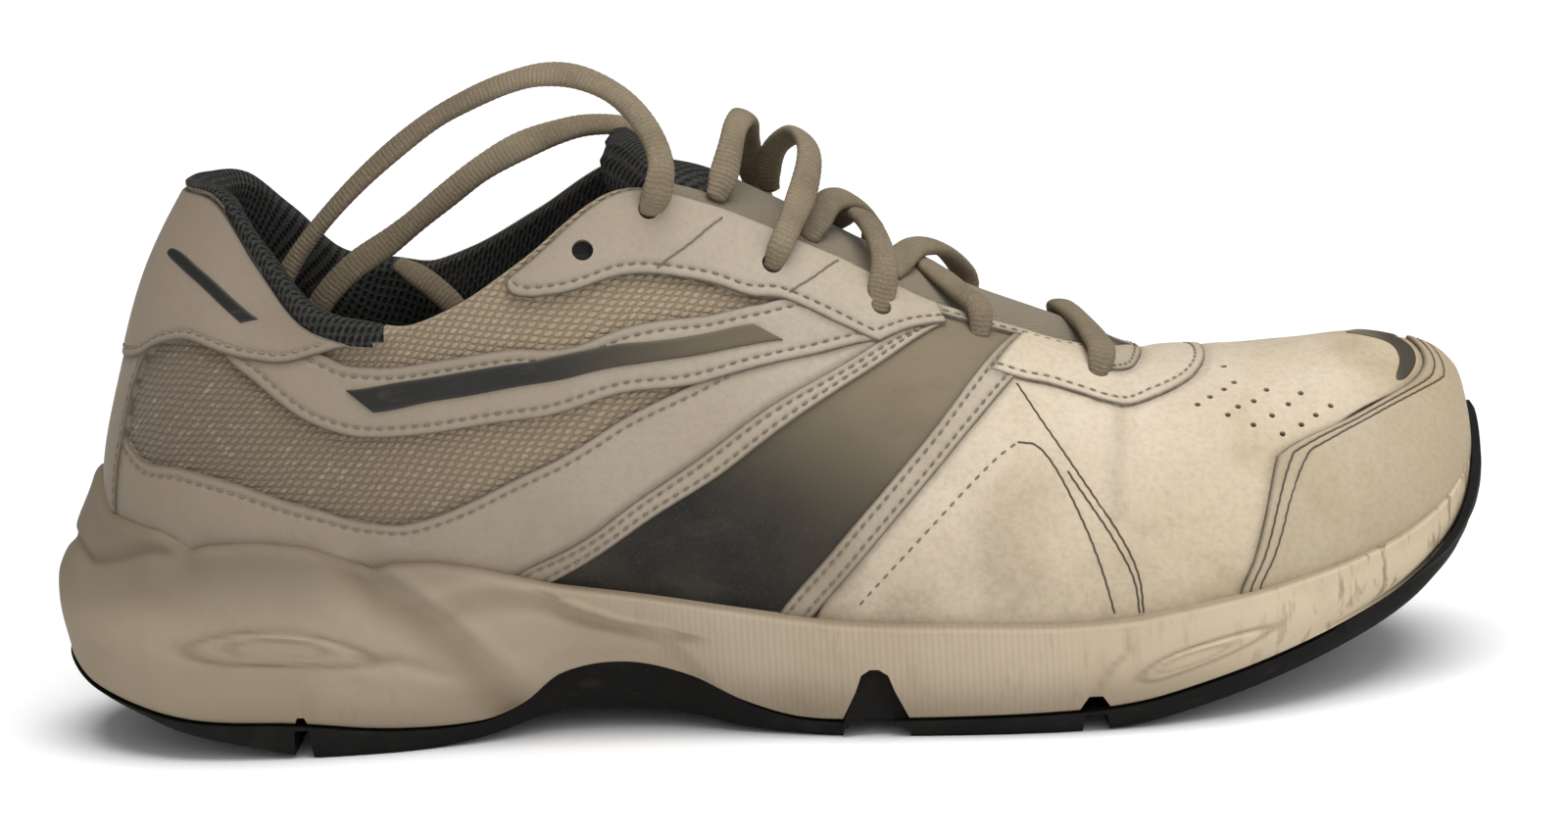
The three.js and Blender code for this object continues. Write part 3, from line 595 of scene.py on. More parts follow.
def lining_finish(name, dark, light):
    """Dark collar mesh: small slanted holes in close rows."""
    finish = Finish(name, 0.92, Specular_IOR_Level=0.2)
    along, up, _ = finish.apart(finish.attribute("chart", "Vector"))
    slanted, rise = slanted_rows(up * (1.0 / 1.9), along * (1.0 / 1.7), 0.5)
    yarns = (slanted * slanted * 1.6 + rise * rise * 0.7).clear(0.12, 0.75)
    fluff = finish.noise(1900.0, 2.0, 0.7)
    dust = finish.noise(60.0, 5.0, 0.65).clear(0.48, 0.8)
    colour = finish.blend(yarns, paint(0.005, 0.005, 0.005), dark)
    colour = finish.blend(fluff.clear(0.4, 0.8) * yarns * 0.6, colour, light)
    return finish.feed(
        Base_Color=finish.over(colour, (dust * 0.18, 0.16, 0.14, 0.11)),
        Normal=finish.relief((yarns, 0.7, 0.0007), (fluff, 0.3, 0.00025)),
    )


def accent_finish(name):
    """Thin printed crescent, tan where it starts and dark brown along its front edge."""
    finish = Finish(name, 0.6, Specular_IOR_Level=0.25)
    x, _, _ = finish.apart(finish.object)
    patches = finish.noise(160.0, 4.0, 0.6)
    front = (x + patches * 0.004).clear(0.1235, 0.1345)
    colour = finish.blend(front, paint(0.2, 0.165, 0.118), paint(0.05, 0.041, 0.029))
    return finish.feed(Base_Color=soiled(finish, colour, 0.5), Normal=finish.relief((patches, 0.1, 0.0003)))


def lace_finish(name, light, dark):
    """Woven lace: ribs across it, each with painted shade in its valley, and painted shade towards the heel and low
    down.
    """
    finish = Finish(name, 0.88, Specular_IOR_Level=0.3)
    along, around, _ = finish.apart(finish.attribute("chart", "Vector"))
    chevron = finish.node("ShaderNodeMath", {"operation": "PINGPONG"}, {0: around, 1: 0.25})
    rib = ((along * (1.0 / 0.95) + chevron * 1.1) * (2.0 * math.pi)).sine() * 0.5 + 0.5
    yarn = finish.noise(1700.0, 3.0, 0.7)
    x, _, z = finish.apart(finish.object)
    colour = finish.over(
        finish.blend(finish.noise(55.0, 4.0, 0.6).clear(0.35, 0.7), light, dark),
        # Painted shade: darker towards the heel and low down in the shoe.
        (x.clear(-0.04, -0.08) * 0.75, 0.12, 0.09, 0.056),
        (z.clear(0.1, 0.086) * 0.4, 0.14, 0.11, 0.07),
        # Painted shade in each rib's valley.
        ((1.0 - rib) * 0.3, 0.11, 0.085, 0.055),
        (yarn.clear(0.45, 0.8) * 0.4, 0.37, 0.31, 0.225),
    )
    return finish.feed(Base_Color=colour, Normal=finish.relief((rib, 0.3, 0.0003), (yarn, 0.3, 0.0002)))


def cloth_finish(name, light, dark):
    """Plain woven cloth, soiled and flattened."""
    finish = Finish(name, 0.9, Sheen_Weight=0.15)
    along, up, _ = finish.apart(finish.attribute("chart", "Vector"))
    weave = 2.0 * math.pi / 1.1
    thread = (along * weave).sine() * (up * weave).sine() * 0.5 + 0.5
    yarn = finish.noise(1500.0, 3.0, 0.7)
    colour = finish.blend(finish.noise(45.0, 5.0, 0.6).clear(0.35, 0.68), light, dark)
    colour = finish.blend(thread.clear(0.1, 0.7) * 0.35, dark, colour)
    colour = finish.blend(yarn.clear(0.45, 0.8) * 0.4, colour, light)
    return finish.feed(
        Base_Color=soiled(finish, colour, 0.7), Normal=finish.relief((thread, 0.45, 0.0003), (yarn, 0.3, 0.0002))
    )


def foam_finish(name, clean, aged):
    """Moulded foam, yellowed, darker towards the heel and lighter towards the toe as painted shade and light, with
    painted shade in its hollows and on its fine upright ribs, and short upright scuffs.
    """
    finish = Finish(name, 0.68, Specular_IOR_Level=0.3)
    x, _, z = finish.apart(finish.object)
    blots = finish.noise(70.0, 5.0, 0.65)
    scuff_lines = finish.noise(330.0, 3.0, 0.7, finish.stretched((1.0, 1.0, 0.2)))
    scuff_area = finish.noise(24.0, 3.0, 0.5).clear(0.45, 0.62)
    scuffs = scuff_lines.clear(0.53, 0.66) * (x.clear(0.085, 0.125) * 0.6 + scuff_area * 0.15)
    ribs = (x * (2.0 * math.pi / 0.0013)).sine() * finish.attribute("ribs")
    high_heel = z.clear(0.026, 0.042) * x.clear(-0.03, -0.09)
    colour = finish.blend(finish.noise(19.0, 4.0, 0.55).clear(0.3, 0.7), clean, aged)
    # Painted shade: the heel end darkened, fading out towards the toe.
    heel = finish.blend(1.0, colour, paint(0.63, 0.61, 0.585), "MULTIPLY")
    colour = finish.over(
        finish.blend((x + z * 0.5).clear(-0.06, 0.09), heel, colour),
        (high_heel * 0.75, 0.14, 0.113, 0.082),
        # Painted light: the front of the wall lightened.
        (x.clear(0.04, 0.13) * 0.4, 0.6, 0.49, 0.32),
        # Painted shade in stripes along the fine upright ribs.
        (ribs.clear(0.2, 1.0) * 0.06, 0.2, 0.155, 0.1),
        (blots.clear(0.55, 0.8) * 0.3, 0.2, 0.15, 0.09),
        (scuffs, 0.15, 0.105, 0.062),
        # Painted shade in the hollows, grooves and oval rings, and at the wall's top.
        (finish.attribute("dirt_and_shade") * 0.75, 0.15, 0.11, 0.065),
        (z.clear(0.016, 0.004) * 0.55, 0.14, 0.105, 0.065),
    )
    grain = finish.noise(900.0, 3.0, 0.6)
    return finish.feed(
        Base_Color=colour,
        Roughness=0.58 + blots * 0.25,
        Normal=finish.relief((grain, 0.12, 0.0003), (scuff_lines, 0.12, 0.0005), (ribs, 0.16, 0.0003)),
    )


def rubber_finish(name, black):
    """Matt black rubber with dust on it and long fine scratches."""
    finish = Finish(name, 0.8, Specular_IOR_Level=0.12)
    dust = finish.noise(45.0, 6.0, 0.7)
    scratch = finish.noise(300.0, 4.0, 0.7, finish.stretched((0.3, 1.0, 1.0)))
    return finish.feed(
        Base_Color=finish.over(
            black,
            (dust.clear(0.45, 0.75) * 0.35, 0.035, 0.031, 0.026),
            (scratch.clear(0.55, 0.75) * 0.15, 0.07, 0.063, 0.054),
        ),
        Roughness=0.6 + dust * 0.3,
        Normal=finish.relief((finish.noise(700.0, 4.0, 0.7), 0.2, 0.0004)),
    )


def bar_finish(name):
    """Glossy moulded bar, near black at the heel end and olive brown at the other, scuffed."""
    finish = Finish(name, 0.4, Specular_IOR_Level=0.3)
    x, _, _ = finish.apart(finish.object)
    scuff = finish.noise(500.0, 4.0, 0.7, finish.stretched((0.25, 1.0, 1.0)))
    colour = finish.blend(x.clear(-0.05, 0.005), paint(0.012, 0.0118, 0.0105), paint(0.125, 0.098, 0.059))
    colour = finish.over(colour, (scuff.clear(0.55, 0.75) * 0.3, 0.09, 0.078, 0.056))
    return finish.feed(
        Base_Color=soiled(finish, colour, 0.4),
        Roughness=0.36 + scuff * 0.3,
        Normal=finish.relief((scuff, 0.1, 0.0002)),
    )


def thread_finish(name, colour):
    finish = Finish(name, 0.85)
    yarn = finish.noise(2500.0, 2.0, 0.6)
    shade = finish.over(colour, (yarn.clear(0.35, 0.75) * 0.5, 0.05, 0.038, 0.024))
    return finish.feed(Base_Color=shade, Normal=finish.relief((yarn, 0.3, 0.0002)))


# ---------------------------------------------------------------- panels

CHART = (15.1, 80.0)  # millimetres to one station and to the whole height
BASE = -0.9  # the knit under the panels lies this far under the worn skin
EDGE_ROWS = (0.0, 0.02, 0.14, 0.4, 0.8, 1.2, 1.6, 2.0, 2.4, 2.9, 3.6)
END_ROWS = (0.0, 0.02, 0.14, 0.4, 0.8, 1.4)
EDGE_DROP = 0.35
SPACING = 1.3
SEAM_INSET = 2.0
SEAM_WIDTH = 0.42
EDGES = ("first", "second", "start", "end")


def side_chart(side):
    """Reads chart points of one side of the shoe."""

    def read(points):
        return side * points[:, 0], points[:, 1]

    return read


def heel_chart(points):
    """Reads chart points that run round the heel."""
    return points[:, 0], points[:, 1]


def toe_chart(points):
    """Station, and how far from the ridge: 0 on the ridge, 1 at the sole, negative on the outer side."""
    side = np.where(points[:, 1] < 0.0, -1.0, 1.0)
    return side * points[:, 0], 1.0 - np.abs(points[:, 1])


class Panel:
    """A cut piece of leather between two lines drawn on the last."""

    def __init__(self, first, second, read, top, seams=(), inset=(SEAM_INSET,), free=EDGES):
        self.first = Line(first, CHART)
        self.second = Line(second, CHART)
        self.read = read
        self.top = top
        self.seams = seams
        self.inset = inset
        self.free = free
        self.measure()

    def spot(self, u, v):
        """Chart points at shares of the way across and along."""
        return mix(self.first.at(v), self.second.at(v), np.reshape(u, (-1, 1)))

    def measure(self):
        """Widths along the piece and its mean length, in millimetres."""
        v = np.linspace(0.0, 1.0, 121)
        u = np.linspace(0.0, 1.0, 13)
        points = np.stack([skin(*self.read(self.spot(np.full(121, share), v))) for share in u])
        self.widths = np.maximum(np.linalg.norm(np.diff(points, axis=0), axis=2).sum(axis=0), 0.05)
        self.shares = v
        self.long = float(run_length(points[6])[-1])

    def width(self, v):
        return np.interp(v, self.shares, self.widths)

    def slant(self, edge, v):
        """1 where the lines across the piece meet an edge squarely, less where they lean."""
        at, near = (0.0, 0.03) if edge == "first" else (1.0, 0.97)
        on = skin(*self.read(self.spot(np.full(len(v), at), v)))
        inside = skin(*self.read(self.spot(np.full(len(v), near), v)))
        square = np.linalg.norm(np.cross(unit(np.gradient(on, axis=0)), unit(inside - on)), axis=1)
        reach = max(2, len(v) // 16)
        window = np.ones(2 * reach + 1) / (2 * reach + 1)
        return np.clip(np.convolve(np.pad(square, reach, mode="edge"), window, mode="valid"), 0.5, 1.0)

    def seam_path(self, edge, inset, count=400):
        """Chart points along an edge, so many millimetres inside it."""
        v = np.linspace(0.0, 1.0, count)
        if edge in ("first", "second"):
            v = v[self.width(v) > inset + 1.2] if inset else v
            share = np.minimum(inset / (self.width(v) * self.slant(edge, v)), 0.5)
            return self.spot(share if edge == "first" else 1.0 - share, v)
        share = inset / self.long
        line = np.full(count, share if edge == "start" else 1.0 - share)
        return self.spot(v, line)

    def seam_paths(self):
        """The path of every row of stitches."""
        return [self.seam_path(edge, inset) for edge in self.seams for inset in self.inset]

    def build(self, name, material, floor=BASE - 0.3, round_edge=0.8, folds=()):
        """The piece as a closed sheet: its face, its edge and its underside."""
        inner = max(2, int((float(self.widths.max()) - 2 * EDGE_ROWS[-1]) / SPACING))
        length_rows = max(4, int(self.long / SPACING))
        edge, ends = np.array(EDGE_ROWS), np.array(END_ROWS)
        middle_rows = np.linspace(ends[-1], self.long - ends[-1], length_rows)[1:-1]
        v_rows = np.concatenate([ends, middle_rows, self.long - ends[::-1]]) / self.long
        columns = 2 * len(edge) + inner
        bm, i, j = grid(columns, len(v_rows))
        v = v_rows[j]
        wide = self.width(v)
        shrink = np.minimum(1.0, wide / (2.0 * edge[-1] + 1.0))
        from_first = np.interp(i, np.arange(len(edge)), edge) * shrink
        from_second = np.interp(columns - 1 - i, np.arange(len(edge)), edge) * shrink
        middle = (i - len(edge) + 1) / (columns - 2 * len(edge) + 1)
        reach = edge[-1] * shrink
        along = np.where(
            i < len(edge),
            from_first,
            np.where(i >= columns - len(edge), wide - from_second, mix(reach, wide - reach, middle)),
        )
        u = along / wide
        gaps = {"first": along, "second": wide - along, "start": v * self.long, "end": (1.0 - v) * self.long}
        for edge_name in ("first", "second"):
            gaps[edge_name] = gaps[edge_name] * np.interp(v, self.shares, self.slant(edge_name, self.shares))
        nearest = np.minimum.reduce([gaps[edge_name] for edge_name in self.free])
        rise = np.sqrt(np.maximum(0.0, 1.0 - (1.0 - np.minimum(nearest / round_edge, 1.0)) ** 2))
        top = mix(BASE + 0.15, self.top, ease(wide / 3.0))
        lift = top - EDGE_DROP * (1.0 - rise)
        # A dark line of dirt and painted shade along each free edge, and a wider, fainter painted shade beside it.
        dirt_and_shade = 0.8 * np.exp(-((nearest / 0.4) ** 2)) + 0.12 * np.exp(-nearest / 2.2)
        for seam in self.seams:
            for inset in self.inset:
                near = np.exp(-(((gaps[seam] - inset) / SEAM_WIDTH) ** 2))
                # Each stitch row is pressed in, with dirt and painted shade in its groove.
                lift = lift - 0.24 * near
                dirt_and_shade = np.maximum(dirt_and_shade, 0.2 * near)
        chart = self.spot(u, v)
        place, height = self.read(chart)
        flat = on_last(place, height, self.top)
        # Each fold is pressed in, and its last number darkens its crease as painted shade.
        for line, wide_fold, deep, dark in folds:
            near = np.exp(-((apart_from(flat, line) / wide_fold) ** 2))
            lift = lift - deep * near
            dirt_and_shade = np.maximum(dirt_and_shade, dark * near)
        # Painted shade beside the edges of the pieces that lie over this one.
        dirt_and_shade = np.maximum(dirt_and_shade, shade_under(flat, self.top))
        rim = {"first": i == 0, "second": i == columns - 1, "start": j == 0, "end": j == len(v_rows) - 1}
        for edge_name in self.free:
            lift = np.where(rim[edge_name], floor, lift)
        note(bm, "dirt_and_shade", dirt_and_shade)
        note_chart(bm, *(chart * np.array(CHART)).T)
        move_to(bm, on_last(place, height, lift))
        under, _, _ = grid(columns, len(v_rows))
        move_to(under, on_last(place, height, floor))
        join(bm, under)
        weld(bm)
        return finish_piece(bm, name, material)


def join(bm, other):
    """Adds one shape's faces to another's."""
    mesh = bpy.data.meshes.new("part")
    other.to_mesh(mesh)
    other.free()
    bm.from_mesh(mesh)
    bpy.data.meshes.remove(mesh)


def apart_from(points, line):
    """Distances in millimetres from points to a line, both in metres."""
    tree = KDTree(len(line))
    for number, spot in enumerate(line.tolist()):
        tree.insert(spot, number)
    tree.balance()
    return np.array([tree.find(point)[2] for point in points.tolist()]) / MM


COVERS = []


def cover(panel):
    """Remembers where a piece's edges lie, so that what lies under them gets painted shade beside them."""
    for edge in panel.free:
        place, height = panel.read(panel.seam_path(edge, 0.0, count=500))
        COVERS.append((panel.top, on_last(place, height, panel.top)))


def shade_under(points, top):
    """Painted shade on a piece beside the edges of the pieces that lie over it."""
    above = [line for over, line in COVERS if over > top + 0.15]
    if not above:
        return np.zeros(len(points))
    return 0.62 * np.exp(-((apart_from(points, np.vstack(above)) / 1.05) ** 2))


STITCH = (0.78, 0.27, 0.21)  # half its length, width and height
THREAD = 0.21
SWAY = 0.05


def laid_on(path, read, lift):
    """Points in metres and outward directions along a chart path, and how far along it they lie."""
    place, height = read(path)
    points = on_last(place, height, lift)
    return points, skin_normal(np.asarray(place), np.asarray(height)), run_length(points)


def stitch_row(bm, path, read, lift, pitch):
    """Stitches laid end to end along chart points: each a short rounded bar."""
    points, normals, far = laid_on(path, read, lift)
    count = max(1, int(far[-1] / (pitch * MM)))
    middles = (np.arange(count) + 0.5) * far[-1] / count
    ahead, behind = (read_along(middles + step * MM, far, points) for step in (0.4, -0.4))
    rows = zip(read_along(middles, far, points), unit(ahead - behind), unit(read_along(middles, far, normals)))
    for centre, run, up in rows:
        forward, upward = Vector(run), Vector(up)
        across = upward.cross(forward).normalized()
        turn = Matrix((forward, across, upward)).transposed().to_4x4()
        scale = Matrix.Diagonal((*(size * MM for size in STITCH), 1.0))
        matrix = Matrix.Translation(Vector(centre)) @ turn @ scale
        bmesh.ops.create_uvsphere(bm, u_segments=6, v_segments=4, radius=1.0, matrix=matrix)


def seam_thread(bm, path, read, lift):
    """One long thread drawn tight along chart points, swaying a little with each stitch."""
    points, normals, far = laid_on(path, read, lift)
    where = np.linspace(0.0, far[-1], max(12, int(far[-1] / (0.5 * MM))))
    spine = read_along(where, far, points)
    up = unit(read_along(where, far, normals))
    across = unit(np.cross(up, unit(np.gradient(spine, axis=0))))
    spine = spine + across * (np.sin(where / (2.4 * MM) * 2.0 * math.pi) * SWAY * MM)[:, None]
    made, i, j = grid(9, len(where))
    angle = 2.0 * math.pi * i / 8.0
    out = across[j] * np.cos(angle)[:, None] + up[j] * np.sin(angle)[:, None]
    move_to(made, spine[j] + out * THREAD * MM)
    weld(made)
    close_ends(made)
    join(bm, made)


# ---------------------------------------------------------------- upper: shell, panels, stitching


def even_stations(count):
    """Stations of one side, evenly spaced on the skin, the same for both sides."""
    fine = np.linspace(0.0, LAST, 1201)
    height = np.full(len(fine), 0.35)
    steps = sum(np.linalg.norm(np.diff(skin(side * fine, height), axis=0), axis=1) for side in (OUTER, INNER))
    far = np.concatenate([[0.0], np.cumsum(steps / 2.0)])
    stations = np.interp(np.linspace(0.0, far[-1], count), far, fine)
    stations[np.argmin(np.abs(stations - THROAT_FRONT))] = THROAT_FRONT
    return stations, far, fine


STATIONS, STATION_FAR, STATION_FINE = even_stations(236)
PLACES = np.concatenate([-STATIONS[::-1], STATIONS[1:]])


def arc_along(place):
    """How far round the shoe places lie, in millimetres."""
    signed = wrap(place)
    return np.sign(signed) * np.interp(np.abs(signed), STATION_FINE, STATION_FAR)


EYELETS = [(7.62, 0.905), (8.30, 0.94), (9.48, 0.86), (10.44, 0.85), (11.40, 0.90), (12.88, 0.815)]
PERFORATIONS = [
    (15.02, 0.815), (15.08, 0.73), (14.94, 0.705), (14.76, 0.68), (14.6, 0.655), (15.44, 0.685), (15.26, 0.645),
    (15.06, 0.63), (14.92, 0.605), (15.84, 0.655), (15.66, 0.62), (15.44, 0.585), (15.2, 0.56), (16.18, 0.585),
    (15.96, 0.56), (15.76, 0.535), (15.52, 0.515),
]
# How far round each hole the knit under it is painted near black as shade, in millimetres.
HOLE_SHADE_REACH = 3.4


def spots_of(table, *sides):
    """Places and heights of holes on one side of the shoe or on both."""
    spots = [(side * station, height) for side in sides for station, height in table]
    return np.array(spots).T


def upper_shell(knit, lining):
    """The hollow wall: knit outside, padded roll at the collar, dark lining inside."""
    outside = np.linspace(0.0, 1.0, 58)
    roll = np.linspace(0.0, math.pi, 11)[1:-1]
    within = np.linspace(1.0, 0.0, 34)
    rows = len(outside) + len(roll) + len(within) + 1
    bm, i, j = grid(len(PLACES), rows)
    place = PLACES[i]
    station = np.abs(place)
    is_open = station < THROAT_FRONT
    height = np.concatenate([outside, np.ones(len(roll)), within, [0.0]])[j]
    shared = np.where((height == 1.0) & ~is_open, station, place)
    collar = ease((5.5 - station) / 0.85)
    back_of_heel = 1.0 - ease((station - 1.8) / 1.6)
    padded_edge = ease((height - mix(0.952, 0.98, back_of_heel)) / mix(0.024, 0.012, back_of_heel)) * collar
    outer = on_last(shared, height, BASE + 1.9 * padded_edge)
    deep = thickness(shared, height)[:, None]
    inner = (skin(shared, height) - skin_normal(shared, height) * deep) * MM
    inner[:, 2] = np.where(height == 0.0, outer[:, 2], inner[:, 2])
    first_roll, first_within = len(outside), len(outside) + len(roll)
    points = np.where((j < first_roll)[:, None] | (j == rows - 1)[:, None], outer, inner)
    on_roll = (j >= first_roll) & (j < first_within)
    turn = np.concatenate([np.zeros(first_roll), roll, np.zeros(len(within) + 1)])[j]
    middle, half = (outer + inner) / 2.0, (outer - inner) / 2.0
    padded = ease((COLLAR_FRONT + 0.9 - station) / 1.6)
    crest = np.where(is_open, mix(0.25, mix(1.6, 3.6 - 1.4 * back_of_heel, collar), padded), 0.0) * MM
    swell = 1.0 + 0.2 * padded * np.sin(turn)
    rolled = middle + half * (np.cos(turn) * swell)[:, None]
    rolled[:, 2] += np.sin(turn) * crest
    points = np.where(on_roll[:, None], rolled, points)
    move_to(bm, points)
    columns = np.zeros((len(PLACES), rows, 3))
    columns[i, j] = points
    steps = np.linalg.norm(np.diff(columns, axis=1), axis=2)
    climbed = np.hstack([np.zeros((len(PLACES), 1)), np.cumsum(steps, axis=1)])
    note_chart(bm, arc_along(place), climbed[i, j] / MM)
    # The knit under each hole is marked for painted shade, so the hole looks deep.
    holes = np.zeros(len(place))
    for spot in on_last(*spots_of(EYELETS + PERFORATIONS, OUTER, INNER), BASE):
        holes = np.maximum(holes, np.linalg.norm(points - spot, axis=1) < HOLE_SHADE_REACH * MM)
    note(bm, "hole", np.where(j < first_roll, holes, 0.0))
    # Darker towards the sole, and painted shade beside the edges of the pieces that lie over the knit.
    outside_dirt_and_shade = np.maximum(0.3 * ease((0.2 - height) / 0.2), shade_under(points, BASE))
    note(bm, "dirt_and_shade", np.where(j < first_roll, outside_dirt_and_shade, 0.0))
    dark = (j >= first_roll + np.where(collar > 0.35, -1, 4)) | ((padded_edge > 0.35) & (j < first_roll))
    bm.verts.index_update()
    for face in bm.faces:
        face.material_index = int(all(dark[v.index] for v in face.verts))
    closed_rim = [
        face
        for face in bm.faces
        if all(not is_open[v.index] and first_roll - 1 <= j[v.index] <= first_within for v in face.verts)
    ]
    bmesh.ops.delete(bm, geom=closed_rim, context="FACES")
    weld(bm)
    piece = finish_piece(bm, "upper_shell", knit)
    piece.data.materials.append(lining)
    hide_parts("upper")
    return piece


def mirrored(points):
    """Chart points of the toe, carried over the ridge to the inner side."""
    return points + [(station, -away) for station, away in reversed(points) if away != 0]


def round_heel(points):
    """Chart points from the back of the heel forward, carried round to the outer side."""
    return [(-place, height) for place, height in reversed(points) if place != 0] + points


QUARTER_FRONT = [(6.52, 0.11), (7.6, 0.235), (8.62, 0.36), (9.52, 0.52), (10.16, 0.66), (10.78, 0.85)]
STRIPE_REAR = [(6.86, 0.08), (7.94, 0.215), (8.9, 0.34), (9.76, 0.51), (10.42, 0.67), (11.02, 0.88)]
STRIPE_FRONT = [(9.3, 0.05), (9.86, 0.205), (10.44, 0.38), (11.04, 0.6), (11.7, 0.92)]
STRIP_FRONT = [(9.6, 0.045), (10.12, 0.19), (10.7, 0.37), (11.32, 0.585), (12.3, 0.965)]
CAP_EDGE = [
    (14.8, -1.0), (14.88, -0.905), (15.02, -0.84), (15.2, -0.715), (15.34, -0.6), (15.41, -0.55),
    (15.41, -0.55), (15.7, -0.52), (16.28, -0.485), (16.96, -0.435), (17.44, -0.38), (17.78, -0.29),
    (17.88, -0.2), (17.84, -0.1), (17.78, 0.0),
]


def shifted(points, amount):
    return [(station + amount, height) for station, height in points]


# Each piece: its two lines, how far its top stands off the last, the edges that are stitched, the insets of the
# stitch rows from those edges, and its finish.
SIDE_PANELS = {
    "quarter": (
        [(0.9, 0.03), (3.0, 0.03), (6.2, 0.03), (6.2, 0.03), *shifted(QUARTER_FRONT, 0.12)],
        [
            (0.9, 0.41), (1.16, 0.395), (1.66, 0.35), (2.34, 0.36), (3.34, 0.37), (4.26, 0.35), (4.76, 0.315),
            (5.24, 0.3), (5.56, 0.32), (6.66, 0.415), (7.7, 0.455), (8.52, 0.51), (9.3, 0.61), (9.9, 0.7),
            (10.4, 0.77), (10.85, 0.87),
        ],
        0.1, ("second",), (SEAM_INSET,), "leather",
    ),
    "stripe": (
        [(6.2, 0.02), *shifted(STRIPE_REAR, -0.14), (10.98, 0.985)],
        [(9.3, 0.015), *shifted(STRIPE_FRONT, 0.12), (11.95, 0.985)],
        -0.25, (), (SEAM_INSET,), "stripe",
    ),
    "rear_strip": (
        [(6.3, 0.02), *QUARTER_FRONT],
        [(6.62, 0.02), *STRIPE_REAR],
        0.5, ("first", "second"), (1.4,), "leather",
    ),
    "front_strip": (
        [(9.2, 0.012), *STRIPE_FRONT, (11.82, 0.985)],
        [(9.5, 0.012), *STRIP_FRONT, (12.4, 0.985)],
        0.5, ("first", "second"), (1.5,), "leather",
    ),
    "bar_panel": (
        [
            (2.3, 0.72), (2.68, 0.68), (3.18, 0.675), (3.8, 0.665), (4.28, 0.65), (4.72, 0.635),
            (5.44, 0.635), (6.32, 0.615), (7.54, 0.535), (8.48, 0.515), (9.04, 0.55), (9.7, 0.625),
            (10.38, 0.73),
        ],
        [
            (2.8, 0.8), (3.5, 0.89), (4.2, 0.91), (4.54, 0.895), (4.88, 0.895), (5.86, 0.875), (6.8, 0.795),
            (7.6, 0.68), (8.72, 0.675), (9.3, 0.725), (9.8, 0.8), (10.4, 0.82),
        ],
        0.6, ("first", "second"), (SEAM_INSET,), "leather",
    ),
    "eyestay": (
        [
            (6.8, 0.985), (6.86, 0.945), (7.15, 0.885), (7.64, 0.81), (8.5, 0.77), (8.92, 0.76),
            (9.26, 0.745), (9.58, 0.765), (10.0, 0.745), (10.4, 0.725), (10.4, 0.725), (10.78, 0.83),
            (11.06, 0.89),
        ],
        [(6.82, 0.992), (7.5, 0.995), (8.0, 0.995), (9.0, 0.994), (10.0, 0.992), (10.98, 0.99)],
        1.0, ("first",), (SEAM_INSET,), "leather",
    ),
    "throat_band": (
        [(10.8, 0.93), (11.4, 0.935), (12.2, 0.94), (13.2, 0.955)],
        [(10.8, 0.994), (11.4, 0.994), (12.2, 0.994), (13.5, 0.996)],
        0.75, ("first",), (1.3,), "leather",
    ),
}
HEEL_TAB = (
    round_heel([
        (0.0, 0.575), (1.05, 0.585), (1.42, 0.62), (1.88, 0.65), (2.48, 0.675), (3.02, 0.72), (3.46, 0.775),
        (4.12, 0.9), (4.52, 0.955), (4.8, 0.972), (5.04, 0.982),
    ]),
    round_heel([(0.0, 0.99), (1.6, 0.986), (2.6, 0.974), (3.6, 0.968), (4.4, 0.975), (4.8, 0.981), (5.08, 0.984)]),
    1.1,
)
VAMP_CREASE = [(13.16, 0.67), (13.1, 0.56), (13.0, 0.45), (12.93, 0.34)]
BACKSTAY_EDGE = [(1.2, 0.02), (1.1, 0.18), (1.14, 0.3), (1.16, 0.4), (1.12, 0.5), (1.3, 0.66)]
BACKSTAY = ([(-place, height) for place, height in BACKSTAY_EDGE], BACKSTAY_EDGE, 0.6)
VAMP = (
    mirrored([
        (9.55, -0.99), (9.98, -0.81), (10.55, -0.63), (11.2, -0.415), (12.15, -0.045), (12.5, -0.012),
        (13.4, -0.008), (14.05, 0.0),
    ]),
    mirrored([
        (15.15, -1.0), (15.3, -0.88), (15.5, -0.7), (15.8, -0.58), (16.4, -0.47), (17.4, -0.4), (18.2, -0.28),
        (18.45, -0.12), (18.4, 0.0),
    ]),
    0.0,
)
THROAT_FRONT_PIECE = (
    mirrored([(11.9, -0.012), (12.7, -0.011), (13.5, -0.009), (14.05, 0.0)]),
    mirrored([
        (11.45, -0.255), (11.78, -0.27), (12.12, -0.27), (12.6, -0.295), (13.08, -0.325), (13.6, -0.33),
        (14.0, -0.318), (14.42, -0.27), (14.66, -0.21), (14.82, -0.13), (14.88, 0.0),
    ]),
    0.75,
)
THROAT_LIP = (
    mirrored([(12.75, -0.011), (13.5, -0.009), (14.05, 0.0)]),
    mirrored([(12.95, -0.185), (13.42, -0.18), (13.82, -0.165), (14.03, -0.1), (14.1, 0.0)]),
    1.3,
)
TOE_CAP = (mirrored(CAP_EDGE), [(20.0, -1.0), (20.0, -0.5), (20.0, 0.0), (20.0, 0.5), (20.0, 1.0)], 0.8)
TOE_ACCENT = (
    mirrored([(17.08, -0.402), (17.28, -0.325), (17.42, -0.235), (17.36, -0.13), (17.0, -0.05), (16.8, 0.0)]),
    mirrored([(17.12, -0.404), (17.44, -0.35), (17.68, -0.27), (17.76, -0.17), (17.66, -0.07), (17.5, 0.0)]),
    0.35,
)
WEDGE = (
    [(0.5, 0.857), (1.0, 0.835), (1.36, 0.817), (1.78, 0.793), (2.16, 0.783), (2.48, 0.783), (2.8, 0.79)],
    [(0.52, 0.865), (1.0, 0.856), (1.44, 0.843), (1.92, 0.821), (2.34, 0.82), (2.72, 0.83), (3.1, 0.845)],
    1.45,
)
